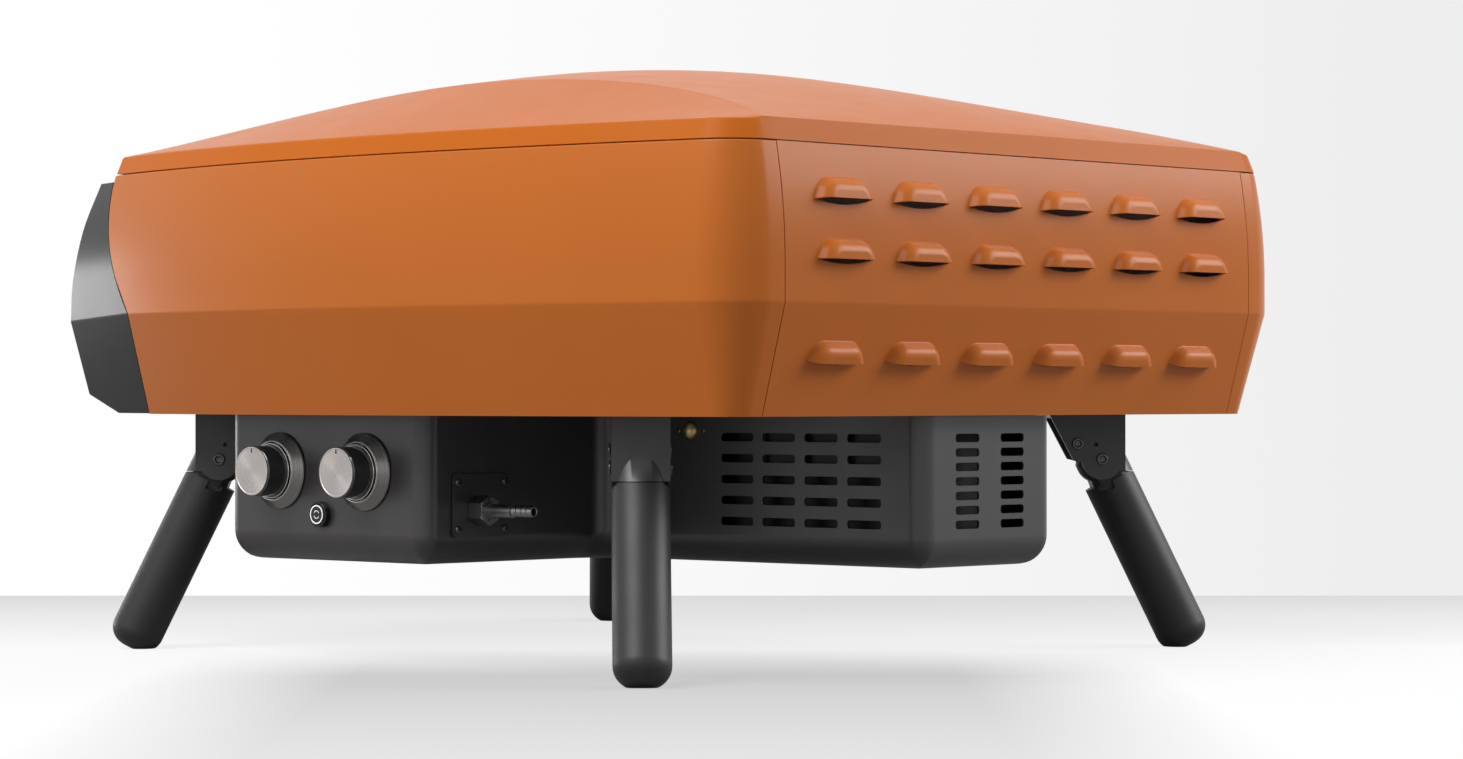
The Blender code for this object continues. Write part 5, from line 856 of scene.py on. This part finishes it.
def cross_screw(radius, height):
    """A low domed screw head with a crossed slot."""
    dome = [(radius * sin(a), height * cos(a)) for a in (0, 0.4, 0.8, 1.2, pi / 2)]
    head = turned(dome + [(radius, -0.0002), (0, -0.0002)], steps=40, ease=0)
    reach, half = radius * 0.5, radius * 0.11
    cross = [box((-reach, -half, height * 0.5), (reach, half, height + 0.001)),
             box((-half, -reach, height * 0.5), (half, reach, height + 0.001))]
    return cut(head, *cross)


def add_housing():
    """Housing, near-black sheets behind its vents as painted shade, and the inlet."""
    piece("housing", housing(), "black_enamel", nodes=("control_housing",), limit=38)
    # Painted shade: near-black sheets inside the housing and behind its side vents stand in for its dark
    # inside
    line = eased([(0.056, 0.09), (0.056, 0.26), (-0.056, 0.26), (-0.056, 0.09)], {1: 0.006, 2: 0.006})
    rows = [[(x, y, z) for x, y in line] for z in (0.0745, 0.1695)]
    piece("inner_shade_sheet", sheet(rows), "painted_shade_black", thickness=THIN_SHEET, bevel=0.0003, limit=60)
    for name, side in SIDES:
        rows = [[(side * x, y, z) for y in (0.137, 0.25)]
                for x, z in ((0.06, 0.13), (0.0655, 0.1335), (0.0655, 0.1695))]
        piece("vent_shade_sheet_" + name, sheet(rows), "painted_shade_black", thickness=THIN_SHEET, side=-side, bevel=0.0003,
              limit=30)
    outline = rectangle((0.1088, 0.1951), 0.0442, 0.053, 0.0035)
    hole = circle(0.0063, centre=(INLET_HEIGHT, INLET_X))
    low = ARM_REAR + GAP
    piece("inlet_flange", plate([outline, hole], low, low + 0.002, ALONG_Y), "black_enamel",
          nodes=("inlet_plate",), bevel=0.0006)
    axis = at(INLET_X, ARM_REAR, INLET_HEIGHT)
    piece("inlet_hex", nut(), "dark_steel", nodes=("inlet_nut",), turn=axis @ ALONG_Y @ at(0, 0, NUT_SEAT),
          limit=20)
    piece("inlet_barb", barb(), "dark_steel", nodes=("hose_barb",), turn=axis)
    for i, (x, z) in enumerate([(x, z) for x in (0.1729, 0.2173) for z in (0.125, 0.0926)], 1):
        piece("plate_screw_%d" % i, socket_screw(0.0028, 0.0016), "screw",
              turn=at(x, ARM_REAR + 0.0023, z) @ ALONG_Y, limit=40)
    turns = [pi * i / 20 for i in range(11)]
    profile = [(0.0062 * sin(turn), GAP + 0.005 * cos(turn)) for turn in turns]
    profile += [(0.0045, GAP), (0.0045, -0.0095), (0, -0.0095)]
    piece("port_dome", turned(profile, ALONG_X, 48, 0), "brass", nodes=("brass_port",),
          turn=at(REAR_ARM, PORT_Y, PORT_HEIGHT), limit=50)
    for i, y in enumerate((PORT_Y - 0.0118, PORT_Y + 0.0118), 1):
        piece("port_screw_%d" % i, cross_screw(0.002, 0.001), "screw",
              turn=at(REAR_ARM + 0.0002, y, PORT_HEIGHT) @ ALONG_X, limit=40)
    outline = rectangle((BATTERY_Y, BATTERY_HEIGHT), 0.09, 0.054, 0.005)
    face = -ARM_REACH - GAP
    cover = plate([outline], face - 0.002, face, ALONG_X)
    piece("battery_lid", cover, "black_plastic", nodes=("battery_cover",), bevel=0.0006)


def add_knobs():
    """Both knobs with their rings, and the push-button switch."""
    for name, y in KNOB_YS:
        axis = at(ARM_REACH, y, KNOB_HEIGHT)
        body = name + "_knob_body"
        dial, disc, ring = knob_parts()
        piece(name + "_dial", dial, "knob_side", body, (name + "_knob",), axis, limit=60)
        piece(name + "_dial_face", disc, "brushed_steel", body, (), axis, limit=60)
        tick = rectangle((0, 0.0143), 0.0011, 0.003, 0.0004)
        tick = plate([tick], KNOB_FACE - 0.0004, KNOB_FACE - 0.00005, ALONG_X)
        piece(name + "_dial_tick", tick, "switch_black", body, (), axis)
        piece(name + "_ring", ring, "knob_ring", "oven", (name + "_knob_bezel",), axis, limit=60)
        flange = KNOB_FACE - KNOB_LENGTH + 0.0017
        for part, carrier, radius, out in (("ring_edge", "oven", 0.0206, RING_HEIGHT),
                                           ("dial_edge", body, KNOB_FLANGE - 0.0002, flange)):
            line = [(out, y, z) for y, z in circle(radius, 96)]
            piece(name + "_" + part, tube(line, 0.0004, True, 3), "bright_edge", carrier, (), axis)
    axis = at(ARM_REACH, SWITCH_Y, SWITCH_HEIGHT)
    profile = [(0, -0.0038), (0.0075, -0.0038), (0.0075, SWITCH_RIM - 0.0002), (0.0078, SWITCH_RIM),
               (0.0086, SWITCH_RIM), (0.009, SWITCH_RIM - 0.0006), (0.009, GAP), (0.0078, GAP),
               (0.0078, -0.0235), (0, -0.0235)]
    piece("switch_case", turned(profile, ALONG_X, 64, 0.0002), "switch_black", "oven",
          ("switch_body",), axis, limit=60)
    face = SWITCH_RIM + 0.0006
    profile = [(0, face), (0.0066, face), (0.0072, face - 0.0005), (0.0072, -0.0015), (0, -0.0015)]
    piece("switch_cap_top", turned(profile, ALONG_X, 64, 0.0002), "switch_black", "switch_cap",
          ("switch_button",), axis, limit=60)
    lift = face + 0.00005
    # The printed ring and marks carry the print's painted glow
    outer = plate([circle(0.0066, 64), circle(0.0057, 64)], lift - 0.0002, lift, ALONG_X)
    piece("switch_ring", outer, "print_white", "switch_cap", (), axis)
    marks = []
    for start in (0.35, pi + 0.35):
        inner = arc((0, 0), 0.0029, start, start + 2.3, 16) + arc((0, 0), 0.0024, start + 2.3, start, 16)
        marks.append(plate([inner], lift - 0.0002, lift, ALONG_X))
    piece("switch_marks", joined(marks), "print_white", "switch_cap", (), axis)


# Folding legs

def bracket():
    """The cast bracket: a channel with lobed cheeks and a cuff that the tube comes out of."""
    side = [(0, 0), (-BRACKET_LENGTH, 0), (-0.0385, -0.0333)]
    end = -asin((BRACKET_DROP - PIVOT_DROP) / LOBE_RADIUS)
    side += arc((-PIVOT_INSET, -PIVOT_DROP), LOBE_RADIUS, -radians(172), end, 20)
    side += [(0, -BRACKET_DROP)]
    half = BRACKET_HALF
    body = plate([side], -half, half, FACING_Y)
    pivot = at(-PIVOT_INSET, 0, -PIVOT_DROP)
    tube_axes = pivot @ Matrix.Rotation(-LEG_LEAN, 4, "Y")
    reach = 3 * LEG_RADIUS
    cuff = rod(LEG_RADIUS, -reach, reach / 3, tube_axes, 96)
    window = box((-BRACKET_WALL, -half, -BRACKET_DROP), (LEG_RADIUS, half, -OVERRUN))
    body = boolean(body, boolean(cuff, window, "INTERSECT"), "UNION")
    inside = half - BRACKET_WALL
    hollow = box((-BRACKET_LENGTH - OVERRUN, -inside, -2 * BRACKET_DROP),
                 (-BRACKET_WALL, inside, -BRACKET_WALL))
    bore = rod(0.0162, -reach, 0, tube_axes, 96)
    spare = rod(0.0016, -2 * half, 2 * half, at(-0.0216, 0, -0.0222) @ ALONG_Y, 16)
    return cut(body, hollow, bore, spare)


def leg():
    """A leg: full round tube with a flat-cut round foot, and a slim tongue on the pivot."""
    lean = Matrix.Rotation(-LEG_LEAN, 4, "Y")
    end = -LEG_LENGTH
    profile = [(0, -LEG_START), (LEG_RADIUS, -LEG_START)]
    profile += arc((LEG_RADIUS - 0.014, end + 0.014), 0.014, 0, -pi / 2, 10) + [(0, end)]
    body = turned(profile, lean, 96, 0)
    above = -(BRACKET_DROP - PIVOT_DROP) - 0.0006
    body = cut(body, box((PIVOT_INSET - BRACKET_WALL, -2 * LEG_RADIUS, above),
                         (3 * LEG_RADIUS, 2 * LEG_RADIUS, 0)))
    inside = BRACKET_HALF - BRACKET_WALL - 0.0006
    for side in (1, -1):
        wedge = arc((0, 0), 0.023, -pi / 2, -pi, 12) + [(0, 0)]
        low, high = sorted((side * inside, side * 2 * LEG_RADIUS))
        body = cut(body, plate([wedge], low, high, lean @ FACING_Y))
    outline = arc((0, 0), 0.0135, 0, radians(150), 14)
    outline += arc((0, 0), 0.0176, radians(170), radians(221), 10)
    outline += [(-0.014, -LEG_START - OVERRUN), (0.0135, -LEG_START - OVERRUN)]
    tongue = plate([outline], -inside, inside, lean @ FACING_Y)
    core = rod(0.0178, -LEG_START - 2 * OVERRUN, 0.027, lean, 64)
    body = boolean(body, boolean(tongue, core, "INTERSECT"), "UNION")
    reach = 3 * LEG_LENGTH
    pivot_height = HOUSING_TOP - PIVOT_DROP
    return cut(body, rod(0.0038, -LEG_RADIUS, LEG_RADIUS, ALONG_Y, 32),
               box((-reach, -reach, -reach), (reach, reach, -pivot_height)))


def pin(radius, drop, inset):
    """A pin across a bracket, with a low head on each side."""
    half = BRACKET_HALF + GAP
    out = half + 0.0014
    head = [(0, out - 0.0009), (0.0021, out - 0.0009), (0.0026, out), (0.004, out), (0.0045, out - 0.0005),
            (0.0045, half), (radius, half)]
    profile = head + [(r, -z) for r, z in reversed(head)]
    return turned(profile, at(-inset, 0, -drop) @ ALONG_Y, 40, 0.0003)


def add_legs():
    """Brackets, legs and pins."""
    bracket_mesh, leg_mesh = bracket(), leg()
    for name, x, y, azimuth in LEGS:
        mount = at(x, y, HOUSING_TOP) @ Matrix.Rotation(radians(azimuth), 4, "Z")
        piece("casting_" + name, bracket_mesh.copy(), "bracket_enamel", nodes=("leg_bracket_" + name,),
              turn=mount, limit=32)
        piece("tube_" + name, leg_mesh.copy(), "leg_enamel", "leg_body_" + name, ("leg_" + name,),
              mount @ at(-PIVOT_INSET, 0, -PIVOT_DROP), limit=32)
        for part, radius, drop, inset in (("pivot", 0.0035, PIVOT_DROP, PIVOT_INSET),
                                          ("stop", 0.003, STOP_DROP, STOP_INSET)):
            piece(part + "_" + name, pin(radius, drop, inset), "pin_black", nodes=(part + "_pin_" + name,),
                  turn=mount, limit=60)


# Stage

def maths(tree, operation, *inputs, **settings):
    """The result of a step of arithmetic on outputs and numbers."""
    return node(tree, "Math", *inputs, operation=operation, **settings).outputs[0]


def seen_rays(tree):
    """One for the rays that see the backdrop: camera, glossy and transmission rays."""
    path = node(tree, "LightPath").outputs
    total = path["Is Camera Ray"]
    for name in ("Is Glossy Ray", "Is Transmission Ray"):
        total = maths(tree, "ADD", total, path[name], use_clamp=True)
    return total


def seen_share(tree, camera, all_seen):
    """A share for camera rays, and a smaller one for glossy and transmission rays."""
    straight = node(tree, "LightPath").outputs["Is Camera Ray"]
    return maths(tree, "MULTIPLY_ADD", straight, camera, maths(tree, "MULTIPLY", seen_rays(tree), all_seen))


def floor_paper(foot, level, right):
    """Paper that greys towards its far edge, with a painted soft shadow patch before the oven."""
    made, tree, shader = new_material("floor_paper")
    place = node(tree, "TexCoord").outputs["Object"]

    def along(direction):
        """Distance on the floor from below the camera, along a direction."""
        dot = node(tree, "VectorMath", place, direction, operation="DOT_PRODUCT").outputs["Value"]
        return maths(tree, "SUBTRACT", dot, foot.dot(direction))

    ahead = along(level)
    # Painted shadow: the floor's tone drops in a soft patch before the oven
    beside = maths(tree, "ABSOLUTE", maths(tree, "ADD", along(right), SHADOW_PATCH_SHIFT))
    painted_shadow = maths(tree, "MULTIPLY", ranged(tree, beside, *SHADOW_PATCH_SIDES), ranged(tree, ahead, *SHADOW_PATCH_END))
    painted_shadow = maths(tree, "MULTIPLY", painted_shadow, ranged(tree, ahead, *SHADOW_PATCH_DEPTH))
    tone = maths(tree, "MULTIPLY", ranged(tree, ahead, *FAR_TONE), maths(tree, "SUBTRACT", 1, painted_shadow))
    colour = mixed(tree, seen_share(tree, *PAPER_SHARES), PAPER_UNSEEN, mixed(tree, tone, grey(0), PAPER))
    fill(shader, {"Base Color": colour, "Roughness": 0.75, "Specular IOR Level": 0.1})
    # The seen floor is mostly white of its own, so that its shadow stays as faint as in the photo
    glow = node(tree, "Emission", Strength=tone).outputs["Emission"]
    mix = node(tree, "MixShader", seen_share(tree, *GLOW_SHARES), shader.outputs["BSDF"], glow)
    fill(tree.nodes["Material Output"], {"Surface": mix.outputs["Shader"]})
    return made


def stage():
    """Floor, backdrop colour, lights and the photo's camera."""
    ahead = Vector((-sin(YAW) * cos(PITCH), -cos(YAW) * cos(PITCH), sin(PITCH)))
    right = ahead.cross(Vector((0, 0, 1))).normalized()
    place = Vector(CAMERA) + Vector((0, SHIFT, 0))
    axes = Matrix((right, right.cross(ahead), -ahead)).transposed()
    data = assign(bpy.data.cameras.new("camera"), {"lens": LENS, "clip_end": 50})
    scene = bpy.context.scene
    scene.camera = shown("camera", data, matrix_world=Matrix.Translation(place) @ axes.to_4x4())

    level = Vector((ahead.x, ahead.y, 0)).normalized()
    foot = Vector((place.x, place.y, 0))
    far, near, side = foot + level * FLOOR_REACH, foot - level * FLOOR_NEAR, right * FLOOR_SIDE
    mesh = bpy.data.meshes.new("floor")
    mesh.from_pydata([near - side, near + side, far + side, far - side], [], [(0, 1, 2, 3)])
    floor = shown("floor", mesh)
    mesh.materials.append(floor_paper(foot, level, right))

    world = bpy.data.worlds.new("studio")
    scene.world = world
    world.use_nodes = True
    tree = world.node_tree
    tree.nodes.clear()
    light = node(tree, "Background", grey(1), FILL)
    direction = node(tree, "TexCoord").outputs["Generated"]
    sideways = node(tree, "VectorMath", direction, right, operation="DOT_PRODUCT").outputs["Value"]
    paper = mixed(tree, ranged(tree, sideways, 0, 1, *BACKDROP_FADE), grey(1), BACKDROP_GREY)
    seen = node(tree, "Background", paper, 1.0)
    mix = node(tree, "MixShader", seen_rays(tree), light.outputs[0], seen.outputs[0])
    node(tree, "OutputWorld", Surface=mix.outputs["Shader"])

    for name, azimuth, elevation, distance, size, power in LAMPS:
        azimuth, elevation = radians(azimuth), radians(elevation)
        target = Vector((0, SHIFT, 0.25))
        place = target + distance * Vector((cos(elevation) * cos(azimuth),
                                            cos(elevation) * sin(azimuth), sin(elevation)))
        settings = {"shape": "RECTANGLE", "size": size[0], "size_y": size[1], "energy": power}
        data = assign(bpy.data.lights.new(name, "AREA"), settings)
        turn = (target - place).to_track_quat("-Z", "Y").to_euler()
        shown(name, data, location=place, rotation_euler=turn)
    scene.view_settings.view_transform = "Standard"


stage()
add_body()
add_chamber()
add_housing()
add_knobs()
add_legs()
